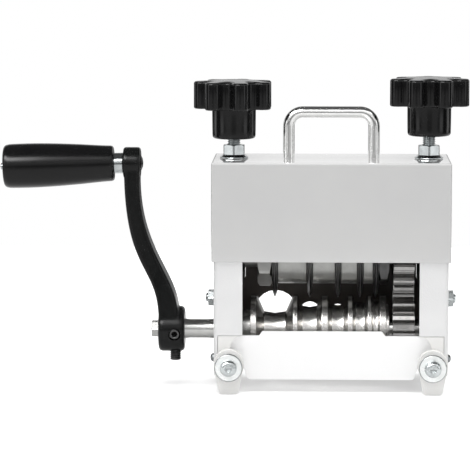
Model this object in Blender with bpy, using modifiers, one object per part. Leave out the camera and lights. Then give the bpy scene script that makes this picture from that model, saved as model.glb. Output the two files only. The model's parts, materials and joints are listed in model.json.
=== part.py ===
"""Hand-cranked wire stripping machine, built from its separate pieces.

A grooved feed roller on the driven lower shaft pushes a cable under a stack of
round blades on the upper shaft. A pair of gears turns the blades with the
roller, and two star knobs set the height of the blade carriage.

X runs along the shafts, the crank is at -X, and the cable goes in from -Y.
Sizes in the constants are millimetres, the model itself is in metres.
"""

import math

import bmesh
import bpy
from mathutils import Euler, Matrix, Vector
from mathutils.geometry import interpolate_bezier

MM = 0.001
GAP = 0.3

# Frame and cover
BODY_HALF_WIDTH = 73.0
BODY_HALF_DEPTH = 32.0
SHEET = 2.5
FLANGE_WIDTH = 18.0
FLANGE_BOTTOM = 36.0
LEG_BOTTOM = 11.0
PLATE_TOP = 139.5
BRIDGE_THICKNESS = 3.0
BRIDGE_INSET = 1.5
COVER_SHEET = 1.0
COVER_BOTTOM = 82.3
COVER_CORNER = 1.2
WEB_FACE = BODY_HALF_WIDTH - SHEET
FLANGE_FACE = BODY_HALF_DEPTH - SHEET
FLANGE_EDGE = BODY_HALF_WIDTH - FLANGE_WIDTH
BRIDGE_TOP = PLATE_TOP + GAP + BRIDGE_THICKNESS
COVER_TOP = BRIDGE_TOP + GAP + COVER_SHEET

# Shafts, gears, roller and blades
LOWER_AXIS = 35.5
CENTRE_DISTANCE = 48.0
UPPER_AXIS = LOWER_AXIS + CENTRE_DISTANCE
DRIVE_SHAFT_RADIUS = 6.3
BLADE_SHAFT_RADIUS = 6.0
SHAFT_WAIST = 0.3
TEETH = 15
PRESSURE_ANGLE = math.radians(20)
PITCH_RADIUS = CENTRE_DISTANCE / 2
GEAR_ADDENDUM = 2.6
GEAR_ROOT_RADIUS = 20.3
GEAR_BACKLASH = 0.3
GEAR_LEFT = 38.8
GEAR_RIGHT = 52.4
GEAR_PHASE = math.radians(6.5)
ROLLER_RADIUS = 22.0
ROLLER_LEFT = -50.4
ROLLER_RIGHT = 34.7
ROLLER_COLLAR_RIGHT = 36.6
BLADE_RADIUS = 27.4
BLADE_THICKNESS = 3.2
BLADE_STEP_RADIUS = 20.6
BLADE_BODY = 2.7
BLADE_BEVEL_RADIUS = 24.2
BLADE_EDGE = 0.3
SPACER_RADIUS = 18.6
# One row for each cable channel: blade place, groove width, groove floor radius, guide hole radius
CHANNELS = (
    (-35.2, 23.4, 11.3, 13.6),
    (-13.3, 15.4, 14.8, 6.3),
    (4.5, 12.7, 15.8, 4.9),
    (18.4, 9.7, 17.5, 4.2),
    (28.2, 5.2, 18.7, 3.2),
)
GROOVE_FLANK_SHARE = 0.21
GROOVE_VEE = 1.0
GUIDE_HOLE_HEIGHT = 42.9
GUIDE_PLATE_TOP = 76.0
LOCK_NUT_ACROSS = 36.0
LEFT_NUT_THICKNESS = 9.0
RIGHT_NUT_THICKNESS = 6.4

# Carriage
BLOCK_INNER = FLANGE_EDGE - 0.1
BLOCK_OUTER = WEB_FACE - GAP
BLOCK_BOTTOM = 66.0
BLOCK_TOP = 103.0
BEARING_RADIUS = 14.0
BLOCK_BEARING_RADIUS = 12.0
BEARING_WIDTH = 10.0
BEARING_FLANGE = 3.3
LIFT_TRAVEL = 4.0

# Crank and grip
CRANK_RADIUS = 105.4
HUB_LEFT = -108.9
HUB_RIGHT = -92.2
HUB_RADIUS = 14.4
SHAFT_TIP = -113.4
BOSS_LEFT = -131.0
BOSS_RIGHT = -120.0
BOSS_RADIUS = 9.9
ARM_TOP_X = -124.9
ARM_SECTION = 2.4
ARM_BOSS_DEPTH = 18.6
ARM_HUB_DEPTH = 26.0
SET_SCREW_X = -98.4
SET_SCREW_RADIUS = 3.6
SET_SCREW_DIP = math.radians(8)
GRIP_TILT = math.radians(1.75)
SPINDLE_RADIUS = 4.0
GRIP_LEFT = -206.3
GRIP_RIGHT = -137.0
SPINDLE_TIP = -208.9

# Knobs
KNOB_OFFSET = 61.2
KNOB_LOBES = 7
LOBE_RING_RADIUS = 20.3
LOBE_RADIUS = 5.1
SCALLOP_BOTTOM_RADIUS = 17.0
KNOB_HUB_BOTTOM = 156.6
RIGHT_KNOB_RAISE = 2.0
KNOB_HEAD_BOTTOM = 18.6
KNOB_HEAD_TOP = 35.9
LEFT_KNOB_PHASE = math.radians(-77)
RIGHT_KNOB_PHASE = math.radians(90)
STUD_RADIUS = 4.0
STUD_NUT_ACROSS = 13.0
STUD_NUT_HEIGHT = 6.8
STUD_NUT_FLANGE = 1.4
STUD_NUT_FLANGE_RADIUS = 9.0
NUT_CHAMFER_SHARE = 1.03

# Carry handle
HANDLE_LEG_OFFSET = 26.7
HANDLE_BAR_RADIUS = 3.6
HANDLE_TOP = 176.8
HANDLE_BEND = 8.7

# Legs, feet and front guard
FOOT_BOLT_X = 63.4
FOOT_BOLT_Z = 16.9
FOOT_RADIUS = 9.4
FOOT_TOP_CENTRE = 18.6
FOOT_TOE_HALF_WIDTH = 3.9
FOOT_THICKNESS = 6.0
NECK_ARC_RADIUS = 7.6
WASHER_RADIUS = 8.6
WASHER_THICKNESS = 1.6
BUTTON_HEAD_RADIUS = 5.25
BUTTON_HEAD_HEIGHT = 3.3
GUARD_THICKNESS = 1.6
GUARD_BOTTOM = 8.0
GUARD_TOP = 35.7
GUARD_LIP_TOP = 38.5
GUARD_LIP = (-42.6, 32.0)
GUARD_EAR_BOTTOM = 22.0

# Side screws of the guide plate
GUIDE_SCREW_Y = 20.0
GUIDE_SCREW_Z = 52.6
GUIDE_SCREW_RADIUS = 3.0

# The origin is the middle of the bounding box, which runs from the spindle to the right knob.
# The lobe of that knob which reaches furthest stands a quarter of a pitch off the X axis.
RIGHT_REACH = KNOB_OFFSET + LOBE_RING_RADIUS * math.cos(math.pi / 2 / KNOB_LOBES) + LOBE_RADIUS
GRIP_LENGTH_X = (SPINDLE_TIP - ARM_TOP_X) * math.cos(GRIP_TILT)
BODY_X = (-(ARM_TOP_X + GRIP_LENGTH_X) - RIGHT_REACH) / 2

LARGE_ROUND = 32
ROUND = 24
SMALL_ROUND = 16
MERGE = 1e-6

SIDES = (("left", -1), ("right", 1))
ENDS = (("front", -1), ("rear", 1))

PAINT = {
    "white_powder_coat": ((0.80, 0.80, 0.81), 0.55, 0.0),
    "grey_paint": ((0.62, 0.62, 0.61), 0.42, 0.0),
    "warm_grey_paint": ((0.60, 0.59, 0.56), 0.5, 0.0),
    "black_plastic": ((0.014, 0.014, 0.015), 0.3, 0.0),
    "black_casting": ((0.012, 0.013, 0.013), 0.45, 0.2),
    "polished_steel": ((0.62, 0.61, 0.59), 0.16, 1.0),
    "ground_steel": ((0.45, 0.45, 0.44), 0.32, 1.0),
    "tool_steel": ((0.12, 0.12, 0.12), 0.35, 1.0),
    "gear_steel": ((0.34, 0.33, 0.32), 0.35, 1.0),
    "zinc_plate": ((0.60, 0.64, 0.66), 0.28, 1.0),
    "black_oxide": ((0.02, 0.02, 0.021), 0.4, 0.8),
    "bronze_black_sheet": ((0.022, 0.018, 0.014), 0.5, 0.3),
    "bearing_steel": ((0.40, 0.40, 0.40), 0.25, 1.0),
}


def clear_scene():
    for item in list(bpy.data.objects):
        bpy.data.objects.remove(item)


def make_collection(name):
    collection = bpy.data.collections.new(name)
    bpy.context.scene.collection.children.link(collection)
    return collection


def make_materials():
    materials = {}
    for name, (colour, roughness, metallic) in PAINT.items():
        material = bpy.data.materials.new(name)
        material.use_nodes = True
        shader = material.node_tree.nodes["Principled BSDF"]
        shader.inputs["Base Color"].default_value = (*colour, 1.0)
        shader.inputs["Roughness"].default_value = roughness
        shader.inputs["Metallic"].default_value = metallic
        materials[name] = material
    return materials


clear_scene()
PARTS = make_collection("wire_stripping_machine")
CUTTERS = make_collection("cutters")
MATERIALS = make_materials()

# Turns of a local frame whose Z is the thickness or the axis of a piece
FACE_FRONT = (math.pi / 2, 0, 0)
FACE_REAR = (-math.pi / 2, 0, 0)
ALONG_X = (0, math.pi / 2, 0)
PLATE_ALONG_X = (math.pi / 2, 0, math.pi / 2)
UPRIGHT = (0, 0, 0)
POINT_DOWN = (math.pi, 0, 0)
FRONT_SCREW_TURN = (math.pi / 2 + SET_SCREW_DIP, 0, 0)


def axis_empty(name, place, parent=None):
    """An empty on a joint axis, or at the frame's own base."""
    empty = bpy.data.objects.new(name, None)
    empty.empty_display_size = 10 * MM
    empty.location = Vector(place) * MM
    empty.parent = parent
    PARTS.objects.link(empty)
    return empty


FRAME = axis_empty("frame_base", (BODY_X, 0, 0))
DRIVE = axis_empty("drive_axis", (0, 0, LOWER_AXIS), FRAME)
GRIP = axis_empty("grip_axis", (
    ARM_TOP_X * (1 - math.cos(GRIP_TILT)), 0, CRANK_RADIUS - ARM_TOP_X * math.sin(GRIP_TILT)), DRIVE)
GRIP.rotation_euler.y = -GRIP_TILT
CARRIAGE = axis_empty("carriage_base", (0, 0, UPPER_AXIS), FRAME)
KNOBS = {
    side: axis_empty(f"{side}_knob_axis", (sign * KNOB_OFFSET, 0, 0), FRAME)
    for side, sign in SIDES
}


def add_object(name, mesh, parent, place, turn, paint):
    """Put a mesh in the scene. Without a paint it is a cutter."""
    item = bpy.data.objects.new(name, mesh)
    item.parent = parent
    item.location = Vector(place) * MM
    item.rotation_euler = turn
    if paint is None:
        item.hide_render = True
        item.display_type = "WIRE"
        CUTTERS.objects.link(item)
    else:
        mesh.materials.clear()
        mesh.materials.append(MATERIALS[paint])
        PARTS.objects.link(item)
    return item


def evaluated_mesh(item):
    depsgraph = bpy.context.evaluated_depsgraph_get()
    return bpy.data.meshes.new_from_object(item.evaluated_get(depsgraph))


def weld(mesh):
    work = bmesh.new()
    work.from_mesh(mesh)
    bmesh.ops.remove_doubles(work, verts=work.verts, dist=MERGE)
    bmesh.ops.recalc_face_normals(work, faces=work.faces)
    work.to_mesh(mesh)
    work.free()


def turned(name, profile, parent, place, turn, paint, segments=ROUND):
    """A lathe piece. The profile runs down the outer side as (radius, height) pairs.

    A profile that starts off the axis is closed into a ring with a bore.
    """
    mesh = bpy.data.meshes.new(name)
    points = [(radius * MM, 0, height * MM) for radius, height in profile]
    edges = [(i, i + 1) for i in range(len(points) - 1)]
    if profile[0][0] > 0:
        edges.append((len(points) - 1, 0))
    mesh.from_pydata(points, edges, [])
    item = add_object(name, mesh, parent, place, turn, paint)
    screw = item.modifiers.new("lathe", "SCREW")
    screw.steps = segments
    screw.render_steps = segments
    screw.use_merge_vertices = True
    screw.merge_threshold = MERGE
    return item


def box(name, size, parent, place, turn=UPRIGHT, paint=None, bevel=0.0):
    """A block of three side lengths, centred on its place."""
    mesh = bpy.data.meshes.new(name)
    work = bmesh.new()
    bmesh.ops.create_cube(work, size=1.0)
    bmesh.ops.scale(work, vec=Vector(size) * MM, verts=work.verts)
    work.to_mesh(mesh)
    work.free()
    item = add_object(name, mesh, parent, place, turn, paint)
    if bevel:
        soften(item, bevel)
    return item


def cylinder(name, radius, length, parent, place, turn=UPRIGHT, paint=None, sides=ROUND):
    """A plain cylinder or, with few sides, a prism, centred on its place."""
    mesh = bpy.data.meshes.new(name)
    work = bmesh.new()
    bmesh.ops.create_cone(
        work, cap_ends=True, segments=sides,
        radius1=radius * MM, radius2=radius * MM, depth=length * MM,
    )
    work.to_mesh(mesh)
    work.free()
    return add_object(name, mesh, parent, place, turn, paint)


def plate(name, outlines, thickness, parent, place, turn, paint):
    """A flat piece from closed outlines. The first is its edge, the others are holes."""
    curve = bpy.data.curves.new(name, "CURVE")
    curve.dimensions = "2D"
    curve.fill_mode = "BOTH"
    curve.extrude = thickness / 2 * MM
    for outline in outlines:
        spline = curve.splines.new("POLY")
        spline.points.add(len(outline) - 1)
        spline.use_cyclic_u = True
        for point, (x, y) in zip(spline.points, outline):
            point.co = (x * MM, y * MM, 0, 1)
    draft = bpy.data.objects.new(name + "_outline", curve)
    bpy.context.scene.collection.objects.link(draft)
    bpy.context.view_layer.update()
    mesh = evaluated_mesh(draft)
    bpy.data.objects.remove(draft)
    bpy.data.curves.remove(curve)
    weld(mesh)
    return add_object(name, mesh, parent, place, turn, paint)


def lofted(name, rings, parent, place, turn, paint):
    """A skin over rings of equal count, closed by a flat cap at each end."""
    mesh = bpy.data.meshes.new(name)
    work = bmesh.new()
    loops = [[work.verts.new(Vector(point) * MM) for point in ring] for ring in rings]
    count = len(loops[0])
    for lower, upper in zip(loops, loops[1:]):
        for i in range(count):
            j = (i + 1) % count
            work.faces.new((lower[i], lower[j], upper[j], upper[i]))
    work.faces.new(loops[0])
    work.faces.new(loops[-1])
    bmesh.ops.recalc_face_normals(work, faces=work.faces)
    work.to_mesh(mesh)
    work.free()
    return add_object(name, mesh, parent, place, turn, paint)


def soften(item, width, segments=2, angle=40):
    bevel = item.modifiers.new("edges", "BEVEL")
    bevel.width = width * MM
    bevel.segments = segments
    bevel.limit_method = "ANGLE"
    bevel.angle_limit = math.radians(angle)


def combine(item, tool, operation):
    boolean = item.modifiers.new(operation.lower(), "BOOLEAN")
    boolean.operation = operation
    boolean.object = tool
    boolean.solver = "EXACT"


def cut(item, tool):
    combine(item, tool, "DIFFERENCE")


def join(item, tool):
    combine(item, tool, "UNION")


def arc(centre, radius, start, end, steps):
    """Points on an arc, from one angle to another in degrees."""
    points = []
    for i in range(steps + 1):
        angle = math.radians(start + (end - start) * i / steps)
        points.append((centre[0] + radius * math.cos(angle), centre[1] + radius * math.sin(angle)))
    return points


def circle(centre, radius, count=ROUND):
    return arc(centre, radius, 0, 360 * (count - 1) / count, count - 1)


def rounded(corners, steps=4):
    """An outline from (x, y, radius) corners, each with radius turned into an arc."""
    points = []
    count = len(corners)
    for i, (x, y, radius) in enumerate(corners):
        here = Vector((x, y))
        if not radius:
            points.append((x, y))
            continue
        before = (Vector(corners[i - 1][:2]) - here).normalized()
        after = (Vector(corners[(i + 1) % count][:2]) - here).normalized()
        half = before.angle(after) / 2
        reach = radius / math.tan(half)
        centre = here + (before + after).normalized() * (radius / math.sin(half))
        first = here + before * reach - centre
        last = here + after * reach - centre
        start = math.atan2(first.y, first.x)
        sweep = (math.atan2(last.y, last.x) - start + math.pi) % (2 * math.pi) - math.pi
        points += arc(centre, radius, math.degrees(start), math.degrees(start + sweep), steps)
    return points


def mirrored(points, sign):
    return [(sign * x, y) for x, y in points]


def hexagon(across, phase=0.0):
    """Corners of a hexagon with this width across its flats."""
    corner_radius = across / 2 / math.cos(math.pi / 6)
    return [
        (corner_radius * math.cos(phase + i * math.pi / 3), corner_radius * math.sin(phase + i * math.pi / 3))
        for i in range(6)
    ]


def hex_nut(name, across, thickness, bore, parent, place, turn, paint, phase=0.0):
    """A hexagon nut with its corners turned off at 30 degrees on both faces."""
    body = plate(name, [hexagon(across, phase), circle((0, 0), bore, SMALL_ROUND)],
                 thickness, parent, place, turn, paint)
    corner = across / 2 / math.cos(math.pi / 6)
    rim = across / 2 * NUT_CHAMFER_SHARE
    slope = math.tan(math.radians(30))
    half = thickness / 2
    over = 1.0
    drop = (corner + over - rim) * slope
    profile = [
        (0, half + over), (rim - over / slope, half + over), (corner + over, half - drop),
        (corner + over, drop - half), (rim - over / slope, -half - over), (0, -half - over),
    ]
    cone = turned(name + "_chamfer", profile, parent, place, turn, None, ROUND)
    combine(body, cone, "INTERSECT")
    return body


def add_side_plates():
    """A channel each side: its web stands on as a leg below the two flanges."""
    depth = BODY_HALF_DEPTH
    height = PLATE_TOP - LEG_BOTTOM
    for side, sign in SIDES:
        section = rounded([
            (FLANGE_EDGE, -depth, 0), (BODY_HALF_WIDTH, -depth, 3.0), (BODY_HALF_WIDTH, depth, 3.0),
            (FLANGE_EDGE, depth, 0), (FLANGE_EDGE, FLANGE_FACE, 0), (WEB_FACE, FLANGE_FACE, 0.8),
            (WEB_FACE, -FLANGE_FACE, 0.8), (FLANGE_EDGE, -FLANGE_FACE, 0),
        ])
        channel = plate(f"{side}_side_plate", [mirrored(section, sign)], height, FRAME,
                        (0, 0, LEG_BOTTOM + height / 2), UPRIGHT, "white_powder_coat")
        below = box(f"{side}_flange_cutter", (FLANGE_WIDTH, 2 * depth + 10, FLANGE_BOTTOM), FRAME,
                    (sign * (WEB_FACE - 0.01 - FLANGE_WIDTH / 2), 0, FLANGE_BOTTOM / 2))
        cut(channel, below)
        web = (sign * (BODY_HALF_WIDTH - SHEET / 2), 0, 0)
        arch = rounded([(-16, 0, 0), (16, 0, 0), (12, 17, 5), (-12, 17, 5)])
        cut(channel, plate(f"{side}_arch_cutter", [arch], 3 * SHEET, FRAME, web, PLATE_ALONG_X, None))
        cut(channel, cylinder(f"{side}_bearing_bore", BEARING_RADIUS + GAP, 3 * SHEET, FRAME,
                              (web[0], 0, LOWER_AXIS), ALONG_X))
        cut(channel, cylinder(f"{side}_guide_screw_hole", GUIDE_SCREW_RADIUS + GAP, 3 * SHEET, FRAME,
                              (web[0], GUIDE_SCREW_Y, GUIDE_SCREW_Z), ALONG_X, sides=SMALL_ROUND))


def add_bridge_plate():
    """The plate that ties the side plates together and backs the stud nuts."""
    x = BODY_HALF_WIDTH - BRIDGE_INSET
    y = BODY_HALF_DEPTH - BRIDGE_INSET
    outline = rounded([(-x, -y, 3), (x, -y, 3), (x, y, 3), (-x, y, 3)])
    holes = [circle((sign * KNOB_OFFSET, 0), STUD_RADIUS + 0.7, SMALL_ROUND) for _, sign in SIDES]
    plate("bridge_plate", [outline, *holes], BRIDGE_THICKNESS, FRAME,
          (0, 0, BRIDGE_TOP - BRIDGE_THICKNESS / 2), UPRIGHT, "ground_steel")


def add_cover():
    """A thin box, open below, that drops over the frame."""
    clearance = GAP + COVER_SHEET
    size = Vector((2 * (BODY_HALF_WIDTH + clearance), 2 * (BODY_HALF_DEPTH + clearance), COVER_TOP - COVER_BOTTOM))
    mesh = bpy.data.meshes.new("top_cover")
    work = bmesh.new()
    bmesh.ops.create_cube(work, size=1.0)
    bmesh.ops.scale(work, vec=size * MM, verts=work.verts)
    bottom = [face for face in work.faces if face.normal.z < -0.5]
    bmesh.ops.delete(work, geom=bottom, context="FACES")
    work.to_mesh(mesh)
    work.free()
    cover = add_object("top_cover", mesh, FRAME, (0, 0, (COVER_TOP + COVER_BOTTOM) / 2), UPRIGHT, "grey_paint")
    soften(cover, COVER_CORNER, 3)
    shell = cover.modifiers.new("sheet", "SOLIDIFY")
    shell.thickness = COVER_SHEET * MM
    shell.offset = -1
    shell.use_even_offset = True
    for side, sign in SIDES:
        cut(cover, cylinder(f"{side}_stud_hole", STUD_RADIUS + 0.7, 10, FRAME,
                            (sign * KNOB_OFFSET, 0, COVER_TOP), sides=SMALL_ROUND))


def add_carry_handle():
    """A round bar bent into a U that stands on the cover."""
    foot = COVER_TOP + GAP
    top = HANDLE_TOP - HANDLE_BAR_RADIUS
    bend_x = HANDLE_LEG_OFFSET - HANDLE_BEND
    bend_z = top - HANDLE_BEND
    path = [(-HANDLE_LEG_OFFSET, foot)]
    path += arc((-bend_x, bend_z), HANDLE_BEND, 180, 90, 8)
    path += arc((bend_x, bend_z), HANDLE_BEND, 90, 0, 8)
    path.append((HANDLE_LEG_OFFSET, foot))
    curve = bpy.data.curves.new("carry_handle", "CURVE")
    curve.dimensions = "3D"
    curve.bevel_depth = HANDLE_BAR_RADIUS * MM
    curve.bevel_resolution = 3
    curve.use_fill_caps = True
    spline = curve.splines.new("POLY")
    spline.points.add(len(path) - 1)
    for point, (x, z) in zip(spline.points, path):
        point.co = (x * MM, 0, z * MM, 1)
    draft = bpy.data.objects.new("carry_handle_path", curve)
    bpy.context.scene.collection.objects.link(draft)
    bpy.context.view_layer.update()
    mesh = evaluated_mesh(draft)
    bpy.data.objects.remove(draft)
    bpy.data.curves.remove(curve)
    weld(mesh)
    add_object("carry_handle", mesh, FRAME, (0, 0, 0), UPRIGHT, "polished_steel")


def add_rear_guide_plate():
    """The upright plate behind the roller, with one round hole for each channel."""
    shoulder = BLOCK_BOTTOM - 2
    outline = rounded([
        (-WEB_FACE + GAP, 20, 3), (WEB_FACE - GAP, 20, 3), (WEB_FACE - GAP, shoulder, 2),
        (FLANGE_EDGE - GAP, shoulder, 1.5), (FLANGE_EDGE - GAP, GUIDE_PLATE_TOP, 0),
        (-FLANGE_EDGE + GAP, GUIDE_PLATE_TOP, 0), (-FLANGE_EDGE + GAP, shoulder, 1.5), (-WEB_FACE + GAP, shoulder, 2),
    ])
    holes = [circle((x, GUIDE_HOLE_HEIGHT), hole, SMALL_ROUND + 4 if hole > 5 else SMALL_ROUND)
             for x, _, _, hole in CHANNELS]
    rear = FLANGE_FACE - GAP
    guide = plate("rear_guide_plate", [outline, *holes], SHEET, FRAME,
                  (0, rear - SHEET / 2, 0), FACE_FRONT, "bronze_black_sheet")
    ear_front = GUIDE_SCREW_Y - 5.5
    for side, sign in SIDES:
        ear = box(f"{side}_guide_ear", (SHEET, rear - SHEET / 2 - ear_front, 14), FRAME,
                  (sign * (WEB_FACE - GAP - SHEET / 2), (rear - SHEET / 2 + ear_front) / 2, GUIDE_SCREW_Z))
        join(guide, ear)
        cut(guide, cylinder(f"{side}_ear_hole", GUIDE_SCREW_RADIUS + GAP, 3 * SHEET, FRAME,
                            (sign * (WEB_FACE - SHEET), GUIDE_SCREW_Y, GUIDE_SCREW_Z), ALONG_X, sides=SMALL_ROUND))


def add_guide_fasteners():
    head_outer = WEB_FACE - GAP - SHEET - GAP
    tip = BODY_HALF_WIDTH + 6.8
    radius = GUIDE_SCREW_RADIUS
    for side, sign in SIDES:
        shank = [
            (0, tip), (radius - 0.6, tip), (radius, tip - 0.6), (radius, head_outer),
            (5.0, head_outer), (5.0, head_outer - 2.2), (3.6, head_outer - 3.2), (0, head_outer - 3.2),
        ]
        place = (0, GUIDE_SCREW_Y, GUIDE_SCREW_Z)
        turn = (0, sign * math.pi / 2, 0)
        turned(f"{side}_guide_screw", shank, FRAME, place, turn, "zinc_plate", SMALL_ROUND)
        nut_place = (sign * (BODY_HALF_WIDTH + GAP + 2.5), GUIDE_SCREW_Y, GUIDE_SCREW_Z)
        hex_nut(f"{side}_guide_nut", 10.0, 5.0, radius + GAP, FRAME, nut_place, ALONG_X, "zinc_plate")


def add_lower_bearings():
    """Flanged bushes pressed into the side plates from inside."""
    inner = WEB_FACE - GAP - BEARING_FLANGE
    bore = DRIVE_SHAFT_RADIUS + GAP
    profile = [
        (bore, BODY_HALF_WIDTH), (BEARING_RADIUS, BODY_HALF_WIDTH), (BEARING_RADIUS, WEB_FACE - GAP),
        (BEARING_RADIUS + 3, WEB_FACE - GAP), (BEARING_RADIUS + 3, inner), (bore, inner),
    ]
    for side, sign in SIDES:
        turned(f"{side}_lower_bearing", profile, FRAME, (0, 0, LOWER_AXIS),
               (0, sign * math.pi / 2, 0), "bearing_steel", ROUND)


def circle_meeting(first, first_radius, second, second_radius):
    """The left one of the two points where two circles meet."""
    start = Vector(first)
    across = Vector(second) - start
    distance = across.length
    along = (first_radius ** 2 - second_radius ** 2 + distance ** 2) / (2 * distance)
    height = math.sqrt(first_radius ** 2 - along ** 2)
    unit = across / distance
    side = Vector((-unit.y, unit.x))
    return min((start + unit * along + side * height, start + unit * along - side * height), key=lambda p: p.x)


def leg_outline():
    """A leg face of the right side: neck with a concave arc, round lug below."""
    outer = WEB_FACE - GAP
    lug = (FOOT_BOLT_X, FOOT_BOLT_Z)
    arc_centre = (FLANGE_EDGE, GUARD_TOP - NECK_ARC_RADIUS)
    meeting = circle_meeting(arc_centre, NECK_ARC_RADIUS, lug, FOOT_RADIUS)
    arc_end = math.degrees(math.atan2(meeting.y - arc_centre[1], meeting.x - arc_centre[0]))
    lug_start = math.degrees(math.atan2(meeting.y - lug[1], meeting.x - lug[0])) % 360
    lug_end = 360 - math.degrees(math.acos((outer - lug[0]) / FOOT_RADIUS))
    points = [(outer, GUARD_TOP)]
    points += arc(arc_centre, NECK_ARC_RADIUS, 90, arc_end, 8)
    points += arc(lug, FOOT_RADIUS, lug_start, lug_end, 14)
    return points


def add_legs():
    """A bent bracket inside each side plate, with a lug at the front and at the rear."""
    for side, sign in SIDES:
        outline = mirrored(leg_outline(), sign)
        hole = circle((sign * FOOT_BOLT_X, FOOT_BOLT_Z), 3.0 + GAP, SMALL_ROUND)
        faces = []
        for end, direction in ENDS:
            name = f"{side}_leg_bracket" if end == "front" else f"{side}_rear_leg_face"
            paint = "warm_grey_paint" if end == "front" else None
            faces.append(plate(name, [outline, hole], SHEET, FRAME,
                               (0, direction * (BODY_HALF_DEPTH - SHEET / 2), 0), FACE_FRONT, paint))
        web = box(f"{side}_leg_web", (SHEET, 2 * BODY_HALF_DEPTH - 0.4, 8.6), FRAME,
                  (sign * (WEB_FACE - GAP - SHEET / 2), 0, 13.4))
        join(faces[0], web)
        join(faces[0], faces[1])


def foot_outline():
    """A teardrop: a round head that narrows to a flat toe."""
    top = FOOT_TOP_CENTRE
    lean = math.degrees(math.atan2(FOOT_RADIUS - FOOT_TOE_HALF_WIDTH, top)) * 0.8
    points = arc((0, top), FOOT_RADIUS, -lean, 180 + lean, 16)
    toe = 2.4
    points += arc((-FOOT_TOE_HALF_WIDTH, toe), toe, 180 + lean, 270, 3)
    points += arc((FOOT_TOE_HALF_WIDTH, toe), toe, 270, 360 - lean, 3)
    return points


def add_feet():
    """Four teardrop feet, each clamped to its lug by a button-head screw and a large washer."""
    face = BODY_HALF_DEPTH + GAP
    washer_back = face + FOOT_THICKNESS + GAP
    head_back = washer_back + WASHER_THICKNESS + GAP
    head = [
        (0, head_back + 1.3), (2.2, head_back + 1.3), (2.2, head_back + BUTTON_HEAD_HEIGHT),
        (3.0, head_back + BUTTON_HEAD_HEIGHT), (BUTTON_HEAD_RADIUS, head_back + 1.3),
        (BUTTON_HEAD_RADIUS, head_back), (3.0, head_back), (3.0, BODY_HALF_DEPTH - 10), (0, BODY_HALF_DEPTH - 10),
    ]
    ring = [
        (3.0 + GAP, washer_back + WASHER_THICKNESS), (WASHER_RADIUS, washer_back + WASHER_THICKNESS),
        (WASHER_RADIUS, washer_back), (3.0 + GAP, washer_back),
    ]
    for side, sign in SIDES:
        for end, direction in ENDS:
            turn = FACE_FRONT if end == "front" else FACE_REAR
            x = sign * FOOT_BOLT_X
            plate(f"{end}_{side}_foot", [foot_outline(), circle((0, FOOT_BOLT_Z), 3.0 + GAP, SMALL_ROUND)],
                  FOOT_THICKNESS, FRAME, (x, direction * (face + FOOT_THICKNESS / 2), 0),
                  FACE_FRONT, "warm_grey_paint")
            place = (x, 0, FOOT_BOLT_Z)
            turned(f"{end}_{side}_foot_screw", head, FRAME, place, turn, "zinc_plate", SMALL_ROUND)
            turned(f"{end}_{side}_foot_washer", ring, FRAME, place, turn, "zinc_plate", SMALL_ROUND)


def add_front_guard():
    """The low white sheet in front of the roller, held behind the two leg faces."""
    reach = WEB_FACE - GAP - SHEET - GAP
    outline = rounded([
        (-reach, GUARD_EAR_BOTTOM, 2), (-56, GUARD_EAR_BOTTOM, 2), (-52, GUARD_BOTTOM, 3), (52, GUARD_BOTTOM, 3),
        (56, GUARD_EAR_BOTTOM, 2), (reach, GUARD_EAR_BOTTOM, 2),
        (reach, GUARD_TOP, 2), (GUARD_LIP[1] + 2, GUARD_TOP, 0), (GUARD_LIP[1], GUARD_LIP_TOP, 1),
        (GUARD_LIP[0], GUARD_LIP_TOP, 1), (GUARD_LIP[0] - 2, GUARD_TOP, 0), (-reach, GUARD_TOP, 2),
    ])
    plate("front_guard", [outline], GUARD_THICKNESS, FRAME,
          (0, -(FLANGE_FACE - GAP - GUARD_THICKNESS / 2), 0), FACE_FRONT, "white_powder_coat")


def involute(angle):
    return math.tan(angle) - angle


def gear_outline(phase):
    """Outline of a spur gear with involute flanks. The phase turns tooth zero from local +X."""
    base = PITCH_RADIUS * math.cos(PRESSURE_ANGLE)
    outer = PITCH_RADIUS + GEAR_ADDENDUM
    half_pitch_tooth = (math.pi * PITCH_RADIUS / TEETH - GEAR_BACKLASH) / 2 / PITCH_RADIUS
    flank = []
    steps = 3
    for i in range(steps + 1):
        radius = base + (outer - base) * i / steps
        pressure = math.acos(min(1.0, base / radius))
        flank.append((radius, half_pitch_tooth + involute(PRESSURE_ANGLE) - involute(pressure)))
    root_half = flank[0][1] + math.radians(0.6)
    points = []
    for tooth in range(TEETH):
        middle = phase + 2 * math.pi * tooth / TEETH
        side = [(GEAR_ROOT_RADIUS, root_half), *flank]
        for radius, half in side:
            points.append((radius * math.cos(middle - half), radius * math.sin(middle - half)))
        for radius, half in reversed(side):
            points.append((radius * math.cos(middle + half), radius * math.sin(middle + half)))
    return points


def add_gear(name, phase, bore, parent, left, right, thin):
    plate(name, [gear_outline(phase), circle((0, 0), bore, SMALL_ROUND)], right - left - thin,
          parent, ((left + right) / 2, 0, 0), PLATE_ALONG_X, "gear_steel")


def roller_profile():
    """The grooved roller, from its right face to its left face, with a shallow V in each floor."""
    points = [
        (17.0, ROLLER_COLLAR_RIGHT), (17.0, ROLLER_RIGHT), (ROLLER_RADIUS - 0.4, ROLLER_RIGHT),
        (ROLLER_RADIUS, ROLLER_RIGHT - 0.4),
    ]
    for middle, width, floor, _ in reversed(CHANNELS):
        half = width / 2
        floor_half = half * (1 - 2 * GROOVE_FLANK_SHARE)
        vee = GROOVE_VEE * min(1.0, width / 20)
        points += [
            (ROLLER_RADIUS, middle + half), (floor, middle + floor_half), (floor - vee, middle),
            (floor, middle - floor_half), (ROLLER_RADIUS, middle - half),
        ]
    bore = DRIVE_SHAFT_RADIUS + GAP
    points += [
        (ROLLER_RADIUS, ROLLER_LEFT + 0.4), (ROLLER_RADIUS - 0.4, ROLLER_LEFT),
        (bore, ROLLER_LEFT), (bore, ROLLER_COLLAR_RIGHT),
    ]
    return points


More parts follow.
